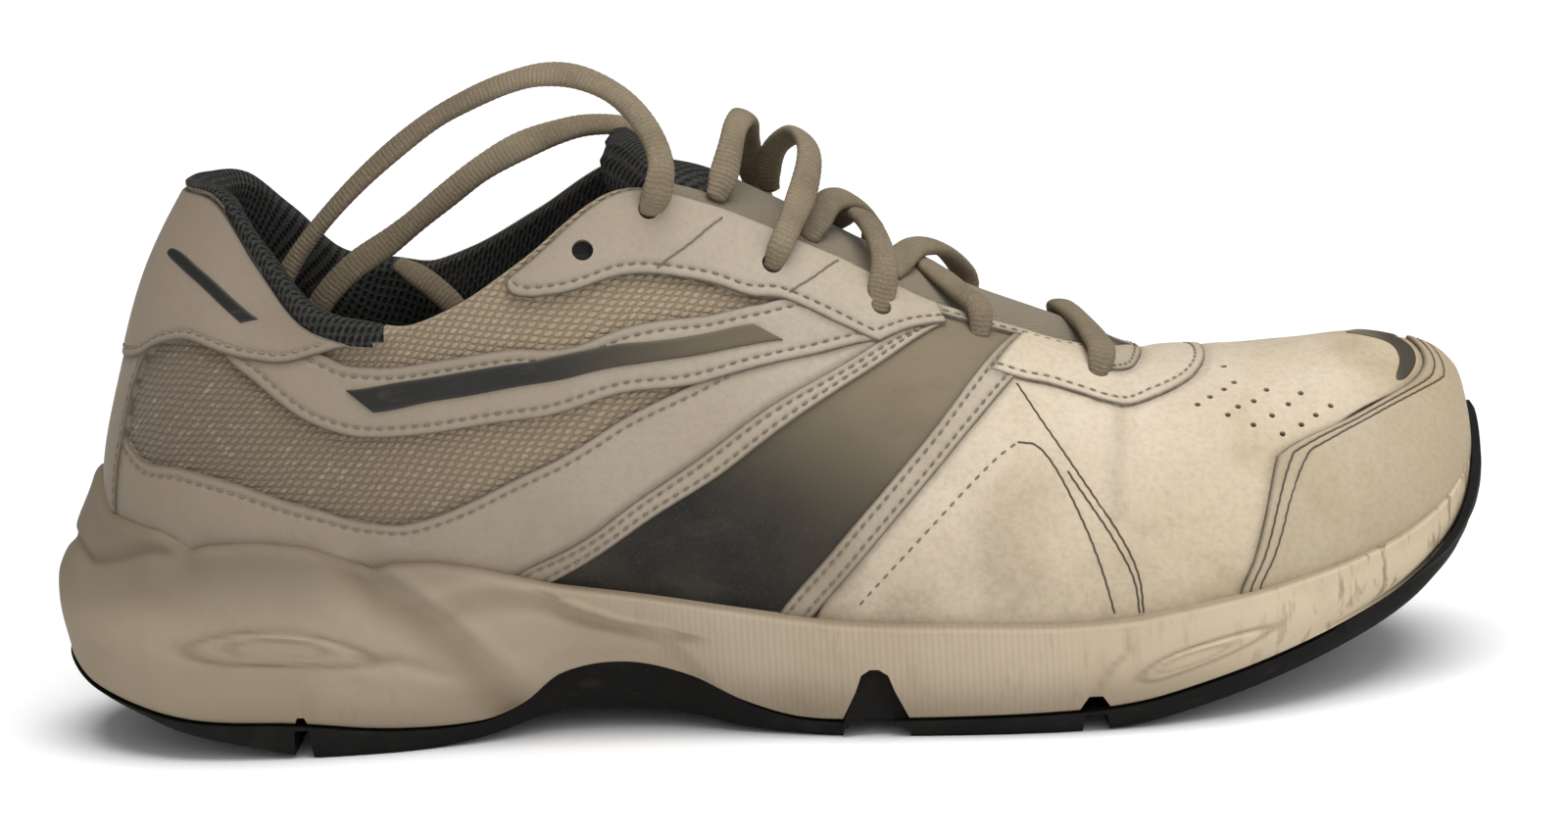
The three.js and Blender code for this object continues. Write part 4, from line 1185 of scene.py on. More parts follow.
BAR = (
    [
        (4.94, 0.73), (5.66, 0.745), (6.34, 0.715), (6.96, 0.67), (7.48, 0.615), (8.02, 0.578), (8.56, 0.58),
        (9.08, 0.61), (9.54, 0.655),
    ],
    [
        (4.56, 0.805), (5.28, 0.835), (6.0, 0.815), (6.66, 0.765), (7.22, 0.705), (7.72, 0.648), (8.24, 0.62),
        (8.78, 0.635), (9.28, 0.675),
    ],
    1.3,
)
# Seams drawn across the panels: what shows, how high it lies, and the line.
SEAM_LINES = [
    ("stitches", 0.0, [(10.04, 0.08), (10.56, 0.225), (11.12, 0.385), (11.5, 0.49), (11.68, 0.53)]),
    (
        "dark thread", 0.0,
        [(11.68, 0.53), (11.85, 0.53), (11.98, 0.505), (12.4, 0.325), (12.62, 0.2), (12.78, 0.085)],
    ),
    (
        "dark thread", 0.0,
        [(11.72, 0.715), (11.98, 0.6), (12.38, 0.455), (12.92, 0.295), (13.3, 0.17), (13.36, 0.08)],
    ),
    ("dark thread", 0.0, [(12.24, 0.46), (12.36, 0.42), (12.84, 0.275), (13.19, 0.155), (13.25, 0.08)]),
    ("pale thread", 1.1, [(8.36, 0.79), (8.7, 0.855), (9.04, 0.955)]),
    ("pale thread", 1.1, [(9.62, 0.79), (9.84, 0.865), (10.06, 0.965)]),
]


def punch(piece, spots, radius):
    """Punches round holes through a piece at places on the last."""
    bm = bmesh.new()
    size = {"segments": 20, "radius1": radius * MM, "radius2": radius * MM, "depth": 8 * MM}
    for centre, normal in zip(on_last(*spots, 0.0), skin_normal(*spots)):
        turn = Vector((0.0, 0.0, 1.0)).rotation_difference(Vector(normal)).to_matrix().to_4x4()
        matrix = Matrix.Translation(Vector(centre)) @ turn
        bmesh.ops.create_cone(bm, cap_ends=True, matrix=matrix, **size)
    cut_with(piece, bm, "DIFFERENCE")


def cut_with(piece, bm, operation):
    """Joins a shape to a piece, or cuts it away, and keeps the result as the piece's mesh."""
    mesh = bpy.data.meshes.new("cutter")
    bm.to_mesh(mesh)
    bm.free()
    cutter = bpy.data.objects.new("cutter", mesh)
    bpy.context.scene.collection.objects.link(cutter)
    modifier = piece.modifiers.new("cut", "BOOLEAN")
    modifier.operation = operation
    modifier.solver = "EXACT"
    modifier.object = cutter
    graph = bpy.context.evaluated_depsgraph_get()
    graph.update()
    made = bpy.data.meshes.new_from_object(piece.evaluated_get(graph))
    piece.modifiers.remove(modifier)
    old = piece.data
    made.name = old.name
    piece.data = made
    bpy.data.meshes.remove(old)
    bpy.data.objects.remove(cutter)
    bpy.data.meshes.remove(mesh)


# ---------------------------------------------------------------- tongue


TONGUE_STATIONS = np.array([13.7, 13.0, 12.2, 11.4, 10.6, 9.8, 9.0, 8.5])
TONGUE_END = [(4.0, 0.95), (8.0, 0.88), (11.0, 0.76), (13.0, 0.56)]  # millimetres on, share of the width
TONGUE_CLEAR = 1.0
THIN, THICK = 2.2, 4.2
SEAM_AT = 0.72  # where the tongue's two long seams lie, as a share of the half width


def tongue_frame():
    """Middle points of the tongue: one row of seven across for each section, and its half thickness."""
    sections, halves = [], []
    last = len(TONGUE_STATIONS) - 1
    for k, station in enumerate(TONGUE_STATIONS):
        half = mix(THIN, THICK, k / last)

        def under(side, height):
            place, at = np.array([side * station]), np.array([height])
            deep = thickness(place, at) + TONGUE_CLEAR + half
            return (skin(place, at) - skin_normal(place, at) * deep[:, None])[0]

        ridge = np.array([0.0, 0.0, mix(3.4, 2.0, k / last) + 2.2 * math.sin(math.pi * k / last)])
        outer = [under(OUTER, height) for height in (0.86, 0.93, 0.99)]
        inner = [under(INNER, height) for height in (0.99, 0.93, 0.86)]
        outer[2], inner[0] = outer[2] + ridge * 0.6, inner[0] + ridge * 0.6
        crown = mix(outer[2], inner[0], 0.5) + ridge
        sections.append(np.array([*outer, crown, *inner]))
        halves.append(half)
    top = sections[-1]
    centre = top[3]
    for on, width in TONGUE_END:
        shrink = np.array([1.0, width, width])
        sections.append((top - centre) * shrink + centre + np.array([-0.74, 0.0, 0.67]) * on)
        halves.append(THICK)
    return np.array(sections), np.array(halves)


def tongue_piece(lining, face_cloth):
    """The padded tongue: a closed pillow on either side of its middle sheet."""
    sections, halves = tongue_frame()
    along, around, wide = 96, 72, 60
    dense = []
    for row in sections:
        line = smooth_run(row, 1.0, 20)
        far = run_length(line)
        dense.append(read_along(np.linspace(0.0, far[-1], wide + 1), far, line).ravel())
    at = np.linspace(0, len(dense) - 1, along)
    middle = between(np.array(dense), at, dense[0], dense[-1]).reshape(along, wide + 1, 3)
    half = np.interp(at, np.arange(len(halves)), halves)
    down, over = (np.gradient(middle, axis=axis).reshape(-1, 3) for axis in (0, 1))
    normal = unit(np.cross(over, down)).reshape(middle.shape)
    normal *= np.sign(normal[..., 2:3].mean())
    bm, i, j = grid(around + 1, along)
    angle = 2.0 * math.pi * i / around
    a = np.cos(angle)
    column = (a + 1.0) / 2.0 * wide
    left = np.minimum(column.astype(int), wide - 1)
    part = (column - left)[:, None]
    centre = mix(middle[j, left], middle[j, left + 1], part)
    up = unit(mix(normal[j, left], normal[j, left + 1], part))
    fullness = np.sign(np.sin(angle)) * np.abs(np.sin(angle)) ** 0.75
    end_round = np.sqrt(np.clip((along - 1 - j) / 7.0, 0.0, 1.0)) * np.clip(0.55 + j / 20.0, 0.0, 1.0)
    channel = 1.0 - 0.16 * np.exp(-(((np.abs(a) - SEAM_AT) / 0.07) ** 2)) * (fullness > 0)
    points = centre + up * (fullness * half[j] * end_round * channel)[:, None]
    move_to(bm, points * MM)
    note_chart(bm, j * 0.9, a * 22.0)
    from_top = along - j
    lined = (from_top < 16) | ((from_top < 34) & (np.abs(a) < 0.8)) | ((from_top < 46) & (np.abs(a) < 0.45))
    facing = (fullness >= -0.3) & ~lined
    # Painted shade in the two seam channels on the tongue's front.
    note(bm, "dirt_and_shade", 0.5 * np.exp(-(((np.abs(a) - SEAM_AT) / 0.05) ** 2)) * (fullness > 0))
    bm.verts.index_update()
    for face in bm.faces:
        face.material_index = int(min(facing[v.index] for v in face.verts))
    weld(bm)
    close_ends(bm)
    piece = finish_piece(bm, "tongue_pad", lining)
    piece.data.materials.append(face_cloth)
    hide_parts("tongue")
    return piece


# ---------------------------------------------------------------- sole

# Foam over rubber, by station: rim height outside and inside; how far the foam stands out at its bottom edge,
# belly, waist and rim; how far the rubber is tucked in; share of the wall under the toe guard.
SOLE = np.array([
    (57.5, 57.5, 10.0, 11.4, 7.2, 1.8, 0, 0),
    (52.0, 52.0, 9.6, 10.8, 7.0, 2.4, 0, 0),
    (48.0, 48.0, 7.6, 9.2, 6.6, 3.6, 0, 0),
    (46.0, 46.0, 5.6, 7.4, 6.4, 4.8, 0, 0),
    (44.2, 44.2, 4.2, 6.4, 6.4, 5.4, 0, 0),
    (40.0, 41.5, 3.0, 5.6, 6.2, 5.2, 0, 0),
    (36.0, 39.0, 1.0, 4.4, 5.6, 5.0, 1.0, 0),
    (32.5, 36.0, -1.0, 2.8, 4.6, 4.8, 3.5, 0),
    (29.7, 32.5, -1.0, 2.4, 4.2, 4.6, 3.5, 0),
    (26.6, 29.0, 0.5, 3.2, 4.2, 4.2, 1.0, 0),
    (23.8, 25.6, 2.0, 4.2, 4.6, 4.0, 0, 0),
    (22.9, 24.4, 2.6, 4.6, 4.8, 4.0, 0, 0),
    (22.2, 24.0, 2.8, 4.8, 4.8, 3.8, 0, 0),
    (22.6, 24.3, 2.8, 4.8, 4.8, 3.8, 0, 0),
    (23.6, 25.0, 2.6, 4.6, 4.8, 3.8, 0, 0),
    (25.6, 26.8, 2.2, 4.4, 4.6, 3.6, 0, 0),
    (28.6, 29.8, 1.6, 4.0, 4.4, 3.4, 0, 0),
    (32.6, 33.6, 1.0, 3.6, 4.0, 3.0, 0, 0.1),
    (37.6, 38.4, 0.2, 2.4, 3.0, 2.5, 0, 0.4),
    (44.0, 44.6, -0.8, 1.2, 2.0, 1.8, 0, 0.88),
    (49.8, 49.8, -1.4, 0.6, 1.4, 1.4, 0, 1.12),
])
FOAM_UNDER = [
    (-151, 20), (-142, 14.5), (-122, 9), (-99, 7.5), (-80, 5.2), (-62, 5.2), (-53, 8.2), (-45, 13.8),
    (-32, 15.6), (-19, 12.6), (-8, 7.2), (4, 3.9), (24, 3.8), (54, 4.4), (70, 5.6), (88, 9.3), (108, 14.6),
    (126, 20.4), (138, 25.6), (147, 31),
]
RUBBER_UNDER = [
    (-151, 17.4), (-140, 13), (-124, 6.4), (-108, 2.6), (-95, 0), (-84, -0.5), (-73, 0), (-60, 1.7),
    (-48, 4.6), (-38, 4.8), (-20, 3.6), (-8, 1.4), (8, 0), (20, -0.5), (40, -0.5), (54, 0), (70, 0.9),
    (88, 4.5), (108, 9.8), (126, 15.6), (138, 20.8), (147, 27.6),
]
BED = [((row[0] / 100 - 0.5) * LENGTH, row[3] / 100 * HEEL_HEIGHT) for row in SECTIONS]


def rail(points, x):
    """A smooth curve of height over length."""
    px, pz = np.array(points, dtype=float).T
    slope = np.empty(len(px))
    slope[1:-1] = (pz[2:] - pz[:-2]) / (px[2:] - px[:-2])
    slope[0] = (pz[1] - pz[0]) / (px[1] - px[0])
    slope[-1] = (pz[-1] - pz[-2]) / (px[-1] - px[-2])
    at = np.clip(x, px[0], px[-1])
    i = np.clip(np.searchsorted(px, at, side="right") - 1, 0, len(px) - 2)
    span = px[i + 1] - px[i]
    f = (at - px[i]) / span
    bend = slope[i] * span * f * (1 - f) ** 2 - slope[i + 1] * span * f * f * (1 - f)
    return mix(pz[i], pz[i + 1], ease(f)) + bend


def sole_row(place):
    """Rim height, how far the foam stands out, tuck of the rubber and toe guard at places round the shoe."""
    signed = wrap(np.asarray(place, dtype=float))
    row = between(SOLE, np.abs(signed), SOLE[1], SOLE[LAST - 1])
    rim = np.where(signed < 0.0, row[:, 0], row[:, 1])
    guard = np.where(np.abs(signed) < LAST - 4, 0.0, np.maximum(0.0, row[:, 7]))
    return rim, row[:, 2:6], np.maximum(0.0, row[:, 6]), guard


def out_from(place, distance):
    """Points level with the feather line and so far out from it."""
    return section(place)[0] + outward(place) * np.reshape(distance, (-1, 1))


def bulge(outs, share):
    """How far the foam's wall stands out, at shares of its height."""
    padded = np.column_stack([outs[:, 0], outs, outs[:, 3]])
    at = np.clip(share * 3.0, 0.0, 3.0)
    i = np.minimum(at.astype(int), 2)
    return curve(*(padded[np.arange(len(i)), i + k] for k in range(4)), at - i)


def foam_wall(place, share, grow=0.0, lobes=0.0):
    """Points on the foam's wall, at shares of its height."""
    rim, outs, _, _ = sole_row(place)
    rim = rim + lobes
    bottom = rail(FOAM_UNDER, out_from(place, outs[:, 0])[:, 0])
    points = out_from(place, bulge(outs, share) + grow)
    points[:, 2] = mix(bottom, rim, share)
    return points


# How much higher the foam's rim rises in its lobes, by station.
RIM_LOBES = [
    (0.0, -0.5), (0.5, -1.0), (1.0, -2.8), (1.5, -1.6), (2.1, -0.6), (2.45, -2.0), (2.62, -3.2), (2.85, -1.8),
    (3.4, -0.4), (4.2, -0.2), (4.75, -1.4), (4.95, -2.0), (5.15, 0.0), (5.6, 1.6), (6.1, 1.9), (7.0, 0.6),
    (8.4, 0.2), (9.8, -0.3), (13.0, -0.2), (20.0, 0.0),
]


def rim_lobes(place):
    station, rise = np.array(RIM_LOBES).T
    return np.interp(np.abs(wrap(place)), station, rise)


# Folds moulded into the foam's wall: the crest on the line, the hollow below it, how far away that hollow lies
# and how wide it is, then the line, in stations and shares of the wall.
FOAM_FOLDS = [
    (
        0.9, 1.9, 5.5, 3.8,
        [(4.98, 1.03), (5.32, 0.91), (5.64, 0.78), (5.96, 0.64), (6.24, 0.46), (6.52, 0.25), (6.74, -0.02)],
    ),
    (
        0.5, 1.0, 3.6, 2.6,
        [(5.6, 0.8), (6.08, 0.89), (6.44, 0.92), (6.82, 0.9), (7.26, 0.78), (7.68, 0.67), (8.1, 0.64)],
    ),
    (0.4, 0.7, 3.2, 2.6, [(7.1, 0.85), (7.8, 0.62), (8.28, 0.48), (8.52, 0.2), (8.72, 0.0)]),
    (
        -1.3, -0.7, 5.0, 3.5,
        [(0.0, 0.6), (0.62, 0.68), (1.02, 0.71), (1.54, 0.8), (1.92, 0.88), (2.32, 0.93), (2.62, 1.02)],
    ),
    (0.2, 0.3, 2.5, 1.8, [(4.86, 0.33), (5.14, 0.33), (5.56, 0.28), (5.9, 0.2)]),
]
# Narrow lines pressed into it: chart points, how wide, how deep.
FOAM_GROOVES = [
    ([(4.72, 0.46), (5.04, 0.45), (5.38, 0.41), (5.7, 0.33)], 1.1, 0.55),
    ([(13.0, 0.9), (12.92, 0.65), (12.68, 0.51), (12.5, 0.3), (12.38, 0.05)], 0.8, 0.35),
]
# Blank ovals: middle, half length in stations, half height in shares of the wall, tilt.
FOAM_OVALS = [((3.76, 0.445), 0.82, 0.066, 0.012), ((14.14, 0.4), 0.72, 0.1, 0.075)]
FACET = (15.42, 0.45)  # the station where the front of the wall turns flat, and how much it leans with height
FOAM_SCALE = np.array([14.0, 31.0])


def beside(at, line):
    """How far chart points lie from a line, in millimetres: below zero on the side under it."""
    line = smooth_run(line, FOAM_SCALE, 8) * FOAM_SCALE
    nearest, side = np.full(len(at), np.inf), np.ones(len(at))
    for distance, a, run in runs_beside(at, line):
        cross = run[0] * (at[:, 1] - a[1]) - run[1] * (at[:, 0] - a[0])
        side = np.where(distance < nearest, np.where(cross < 0.0, -1.0, 1.0), side)
        nearest = np.minimum(nearest, distance)
    return nearest * side


def foam_relief(place, share):
    """How far the moulded wall stands out of its plain shape, and how much painted shade lies in its hollows, grooves
    and round its ovals.
    """
    station = np.abs(wrap(place))
    at = np.column_stack([station, share]) * FOAM_SCALE
    out, dirt_and_shade = np.zeros(len(station)), np.zeros(len(station))
    for crest, hollow, away, wide, line in FOAM_FOLDS:
        gap = beside(at, line)
        on_line, below = np.exp(-((gap / 1.2) ** 2)), np.exp(-(((gap + away) / wide) ** 2))
        out += crest * on_line - hollow * below
        # Painted shade in the hollow below each fold and along each fold that is pressed in.
        dirt_and_shade = np.maximum.reduce([dirt_and_shade, 0.3 * abs(hollow) * below, 0.35 * max(0.0, -crest) * on_line])
    for line, wide, deep in FOAM_GROOVES:
        near = np.exp(-((beside(at, line) / wide) ** 2))
        out -= deep * near
        # Painted shade in each groove.
        dirt_and_shade = np.maximum(dirt_and_shade, 0.45 * near)
    for (middle, level), half, tall, tilt in FOAM_OVALS:
        dx = (station - middle) / half
        dy = (share - level - tilt * (station - middle)) / tall
        radius = np.sqrt(dx * dx + dy * dy)
        out += 0.5 * np.exp(-(((radius - 1.0) / 0.2) ** 2)) - 0.4 * np.exp(-(((radius - 1.42) / 0.2) ** 2))
        out += 0.16 * (1.0 - ease((radius - 0.5) / 0.2))
        # Painted shade in the groove round each oval's ring and in a ring inside it.
        dirt_and_shade = np.maximum(dirt_and_shade, 0.6 * np.exp(-(((radius - 1.4) / 0.16) ** 2)))
        dirt_and_shade = np.maximum(dirt_and_shade, 0.4 * np.exp(-(((radius - 0.7) / 0.12) ** 2)))
    past = station - FACET[0] - FACET[1] * (0.5 - share)
    out -= 0.8 * ease(past / 0.35) * ease((4.6 - past) / 3.0) * ease((1.0 - share) / 0.3)
    return out, dirt_and_shade


def middle_line(place, above=0.0):
    """Points on the footbed's middle line, where the rows of both sides meet."""
    foot, _, _, side, station = section(place)
    over = section(-side * station)[0]
    x = np.clip(foot[:, 0], -112.0, 134.0)
    y = (foot[:, 1] + over[:, 1]) / 2.0 * ease((foot[:, 0] + 130.0) / 30.0)
    return np.column_stack([x, y, rail(BED, x) + above])


def height_at_level(place, level):
    """The heights on the last at which the skin passes a level."""
    low, high = np.zeros(len(place)), np.full(len(place), 0.8)
    for _ in range(22):
        middle = (low + high) / 2.0
        under = skin(place, middle)[:, 2] < level
        low, high = np.where(under, middle, low), np.where(under, high, middle)
    return (low + high) / 2.0


def ring_body(rows):
    """A body from rows of points round the shoe; the first and last rows meet across its middle."""
    bm, i, j = grid(len(PLACES), len(rows))
    points = np.stack(rows)[j, i]
    move_to(bm, points * MM)
    return bm, i, j, points


def set_level(points, z):
    points[:, 2] = z
    return points


def underside(edge, shares, under, drop=0.0):
    """Rows from the middle line out towards an edge, each on a curve of height over length."""
    rows = [mix(middle_line(PLACES), edge, share) for share in shares]
    return [set_level(row, rail(under, row[:, 0]) - drop) for row in rows]


def midsole_body(foam):
    """The foam: its underside, its moulded wall, and the cup that holds the upper."""
    place = PLACES
    lobes = rim_lobes(place)
    rim = sole_row(place)[0] + lobes
    bed = section(place)[0][:, 2] - GAP
    edge = foam_wall(place, np.zeros(len(place)), lobes=lobes)
    under = underside(edge, np.linspace(0.0, 1.0, 10)[:-1], FOAM_UNDER)
    shares = np.concatenate([[0.0, 0.012, 0.03], np.linspace(0.05, 0.95, 46), [0.972, 0.99, 1.0]])
    walls, wall_dirt_and_shade = [], []
    for share in shares:
        at = np.full(len(place), share)
        relief, dirt_and_shade = foam_relief(place, at)
        relief = relief * ease(share / 0.05) * ease((1.04 - share) / 0.06)
        low_edge = 0.9 * (1.0 - math.sqrt(1.0 - (1.0 - min(share / 0.03, 1.0)) ** 2))
        high_edge = 1.1 * max(0.0, (share - 0.95) / 0.05) ** 2
        walls.append(foam_wall(place, at, relief - low_edge - high_edge, lobes=lobes))
        # Painted shade along the top of the wall, where the upper meets it.
        wall_dirt_and_shade.append(np.maximum(dirt_and_shade, 0.7 * math.exp(-(((share - 1.0) / 0.025) ** 2))))
    rim_height = height_at_level(place, rim)
    cup = [set_level(skin(place, rim_height) - skin_normal(place, rim_height) * 0.1, rim + 0.1)]
    cup += [skin(place, rim_height * share) + skin_normal(place, rim_height * share) * GAP for share in (0.8, 0.4, 0.0)]
    set_level(cup[-1], bed)
    rows = [*under, *walls, *cup, set_level(out_from(place, -5.0), bed), middle_line(place, -GAP)]
    bm, i, j, _ = ring_body(rows)
    dirt_and_shade = np.zeros((len(rows), len(place)))
    dirt_and_shade[len(under) : len(under) + len(walls)] = wall_dirt_and_shade
    # Painted shade on the cup's rim, in the joint under the upper.
    dirt_and_shade[len(under) + len(walls)] = 0.6
    note(bm, "dirt_and_shade", dirt_and_shade[j, i])
    note(bm, "ribs", ease((np.abs(place[i]) - 7.4) / 1.2) * ease((12.6 - np.abs(place[i])) / 0.8))
    weld(bm)
    piece = finish_piece(bm, "midsole_foam", foam, sharp=60.0)
    cutters = bar_across(slot_outline(GAP), -70.0, 70.0)
    for x, half, top in FOAM_NOTCHES:
        bar_across(arch_outline(x, [(half, top - 5.0), (half * 0.3, top)]), -70.0, 70.0, cutters)
    cut_with(piece, cutters, "DIFFERENCE")
    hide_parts("midsole")
    return piece


RIB_X = 18.2
RIB_ARCH = [(7.4, -5), (6.6, 1.4), (4.6, 3.1), (1.6, 3.8)]  # the hollow under the rib
FOAM_NOTCHES = [(-98.0, 2.6, 8.9), (61.6, 4.6, 7.6)]  # where a groove runs up into the foam: x, half width, top


def arch_outline(x, half):
    """An outline from its half, given from the foot up as distances from x and heights."""
    return [(x + dx, z) for dx, z in half] + [(x - dx, z) for dx, z in reversed(half)]


def slot_outline(grow):
    """The slot across the foam that the rubber's rib fills."""
    half = [(7 + grow, 2), (6.2 + grow, 4.2), (3.6 + grow, 10), (2.4 + grow, 13.4), (0.9, 14.3 + grow)]
    return arch_outline(RIB_X, half)


def bar_across(outline, low, high, bm=None):
    """A closed bar across the shoe, with its outline in length and height."""
    bm = bm or bmesh.new()
    corners = [bm.verts.new((x * MM, low * MM, z * MM)) for x, z in outline]
    face = bm.faces.new(corners)
    made = bmesh.ops.extrude_face_region(bm, geom=[face])["geom"]
    moved = [part for part in made if isinstance(part, bmesh.types.BMVert)]
    bmesh.ops.translate(bm, verts=moved, vec=(0.0, (high - low) * MM, 0.0))
    bmesh.ops.recalc_face_normals(bm, faces=bm.faces)
    return bm


# Grooves across the tread: x, half width, depth from the floor, how far to either side.
GROOVES = [
    (-118, 1.6, 6.2, 26), (-98, 2.4, 6.2, 70), (-82, 1.6, 2.6, 26), (38, 1.6, 2.2, 36), (61.6, 3.6, 3.6, 70),
    (80, 1.6, 4.6, 38), (98, 1.6, 8.8, 32),
]


def outsole_body(rubber):
    """The rubber: tread, side, the guard that climbs the toe, and the face under the foam."""
    place = PLACES
    _, outs, tuck, guard = sole_row(place)
    wrapped = ease(guard / 0.3)
    thick = 1.8 * wrapped
    edge = out_from(place, outs[:, 0] - tuck - 1.4)
    set_level(edge, rail(RUBBER_UNDER, edge[:, 0]))
    foam_low = rail(FOAM_UNDER, out_from(place, outs[:, 0])[:, 0]) - 0.4
    corner = set_level(out_from(place, outs[:, 0] - tuck + GAP + thick), foam_low)
    side = (edge + corner) / 2.0 + outward(place) * 0.5
    under = underside(edge, np.linspace(0.0, 1.0, 12), RUBBER_UNDER)

    def climb(share, grow):
        points = foam_wall(place, guard * share, GAP + grow - tuck)
        return set_level(points, np.where(guard > 0.0, points[:, 2], foam_low))

    outer = [climb(share, thick) for share in (0.2, 0.4, 0.6, 0.8, 0.95)]
    tip = climb(1.0, thick * 0.6)
    inner = [climb(share, 0.3 * wrapped * (1.0 - share)) for share in (1.0, 0.75, 0.5, 0.25)]
    last = set_level(out_from(place, outs[:, 0] - tuck + GAP), foam_low)
    top = underside(foam_wall(place, np.zeros(len(place))), (0.68, 0.34, 0.0), FOAM_UNDER, 0.4)
    bm = ring_body([*under, mix(edge, side, 0.5), side, corner, *outer, tip, *inner, last, *top])[0]
    weld(bm)
    piece = finish_piece(bm, "outsole_rubber", rubber, sharp=40.0)
    cut_with(piece, bar_across(slot_outline(0.0), -44.0, 46.0), "UNION")
    cut_with(piece, bar_across([(-200, -20), (200, -20), (200, 0), (-200, 0)], -75.0, 75.0), "DIFFERENCE")
    cutters = bar_across(arch_outline(RIB_X, RIB_ARCH), -70.0, 70.0)
    for x, half, depth, reach in GROOVES:
        bar_across(arch_outline(x, [(half, -5), (half * 0.6, depth)]), -reach, reach, cutters)
    cut_with(piece, cutters, "DIFFERENCE")
    piece.data.set_sharp_from_angle(angle=math.radians(40.0))
    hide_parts("outsole")
    return piece


PAD_EDGE = [(5.0, 0.0), (3.4, 0.0), (3.1, 1.2), (3.1, 2.6), (3.6, 3.6), (4.6, 3.9)]  # inward, up


def pressed(points, x, y, long, wide):
    """1 where a foot has pressed the pad hardest, falling away round it."""
    return np.exp(-(((points[:, 0] - x) / long) ** 2) - ((points[:, 1] - y) / wide) ** 2)


def insole_pad(cloth):
    """The loose pad, pressed in under the heel and the ball of the foot."""
    place = PLACES
    level = section(place)[0][:, 2]
    rows = [middle_line(place), *(set_level(out_from(place, -inward), level + up) for inward, up in PAD_EDGE)]
    edge_top = rows[-1]
    for share in np.linspace(0.0, 1.0, 14)[1:]:
        row = mix(edge_top, middle_line(place, 4.0), share)
        hollow = 0.8 * pressed(row, -92.0, 0.0, 26.0, 20.0) + 0.6 * pressed(row, 58.0, 4.0, 24.0, 26.0)
        row[:, 2] -= ease(share / 0.4) * hollow
        rows.append(row)
    bm, _, _, points = ring_body(rows)
    note_chart(bm, points[:, 0], points[:, 1])
    note(bm, "dirt_and_shade", 0.45 * pressed(points, -92.0, 0.0, 24.0, 18.0))
    weld(bm)
    piece = finish_piece(bm, "insole_pad", cloth)
    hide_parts("insole")
    return piece


# ---------------------------------------------------------------- laces

END_OUTER = [
    (-20.9, -28.2, 107.6), (-19, -28.4, 111), (-18.2, -27, 115.5), (-20, -23.5, 121.5), (-26, -18, 128.8),
    (-34.2, -14, 133), (-41.3, -12, 133.9), (-48.5, -10, 132.6), (-56.9, -9, 129.6), (-65.8, -8, 125.2),
    (-80.5, -8, 114.4), (-93, -6.5, 102), (-99.5, -6.5, 92.5), (-104, -8, 80), (-104.5, -10, 67),
    (-101, -12, 54.5), (-92, -14, 45), (-80, -15, 42), (-70, -15, 41.5),
]
END_INNER = [
    (-21, 28.2, 109.8), (-20.6, 28, 113.5), (-22.4, 25, 117.4), (-27, 20.5, 120), (-34.7, 16, 121),
    (-40.8, 13, 120.2), (-49.1, 10, 117.7), (-57.5, 8, 113.6), (-64.9, 6, 108.6), (-76.5, 2.5, 100.5),
    (-86, -0.5, 94.5), (-93, -1, 86.5), (-94, 2.5, 77), (-86, 9, 69.5), (-74.5, 14.5, 69),
    (-66.5, 17.5, 74.5), (-65.5, 19, 81.5), (-70.5, 20.2, 87.6), (-78.5, 21.4, 93.5),
]
LOOP_BACK = [
    (-8.3, -16.4, 106.6), (-6.6, -14.8, 110), (-4.7, -11.5, 115.5), (-3.2, -6, 120.3), (-1.6, 0, 122),
    (-0.8, 6.5, 120.4), (-1.2, 13, 116.2), (-0.8, 19, 110.6), (0.8, 24.6, 103.6), (3.2, 27.8, 97.6),
]
LOOP_FRONT = [
    (3.4, 14.6, 104.6), (3, 13, 109.5), (4.8, 9.4, 114.4), (8.2, 4, 117.3), (10.8, -3, 116.9),
    (11.7, -8, 114), (10.3, -14, 108.4), (7.4, -21, 102.6), (4.9, -25.4, 98.2), (3.2, -28.2, 95.6),
]
# Each strand of a crossing: its route, then the side and number of the holes at its start and end.
CROSSINGS = {
    "lace_cross_back": [
        ([(10.4, -13.6, 96.8), (12.1, -11, 100.1), (15, -6, 103.7), (18.3, 0, 103.9), (21.2, 6, 101.8),
         (23.6, 12.4, 98), (25, 19, 94), (25.2, 26, 88.6)], None, (INNER, 3)),
        ([(15.6, 12.4, 96.4), (18.6, 5, 99.9), (22, -4, 100), (24.4, -12, 96.9), (25.4, -20, 91.6),
         (24.8, -27.2, 86.2)], None, (OUTER, 3)),
    ],
    "lace_cross_front": [
        ([(26.6, 12.6, 89.8), (31.9, 5, 90), (36.4, -5, 88), (41, -13, 84.4), (44.4, -18.6, 81.4),
         (45.2, -21.8, 79)], None, (OUTER, 4)),
        ([(27, -12.4, 88.8), (29.5, -7, 91.4), (33.1, 0, 92.7), (37.5, 6, 91.7), (41.3, 13, 88.2),
         (44, 19, 83.2), (45.2, 22.4, 79.6)], None, (INNER, 4)),
    ],
    "lace_bar": [
        ([(64.4, 22.2, 72.8), (64, 15.4, 76), (64.4, 7, 77), (66, -4, 76), (68, -13, 73.8), (68.8, -20, 71.4),
          (68.6, -24, 69)], (INNER, 5), (OUTER, 5)),
    ],
}


def into(side, hole):
    """A point inside the shoe, straight behind one of its lace holes."""
    station, height = EYELETS[hole]
    place, at = np.array([side * station]), np.array([height - 0.014])
    return tuple((skin(place, at) - skin_normal(place, at) * 0.9)[0])


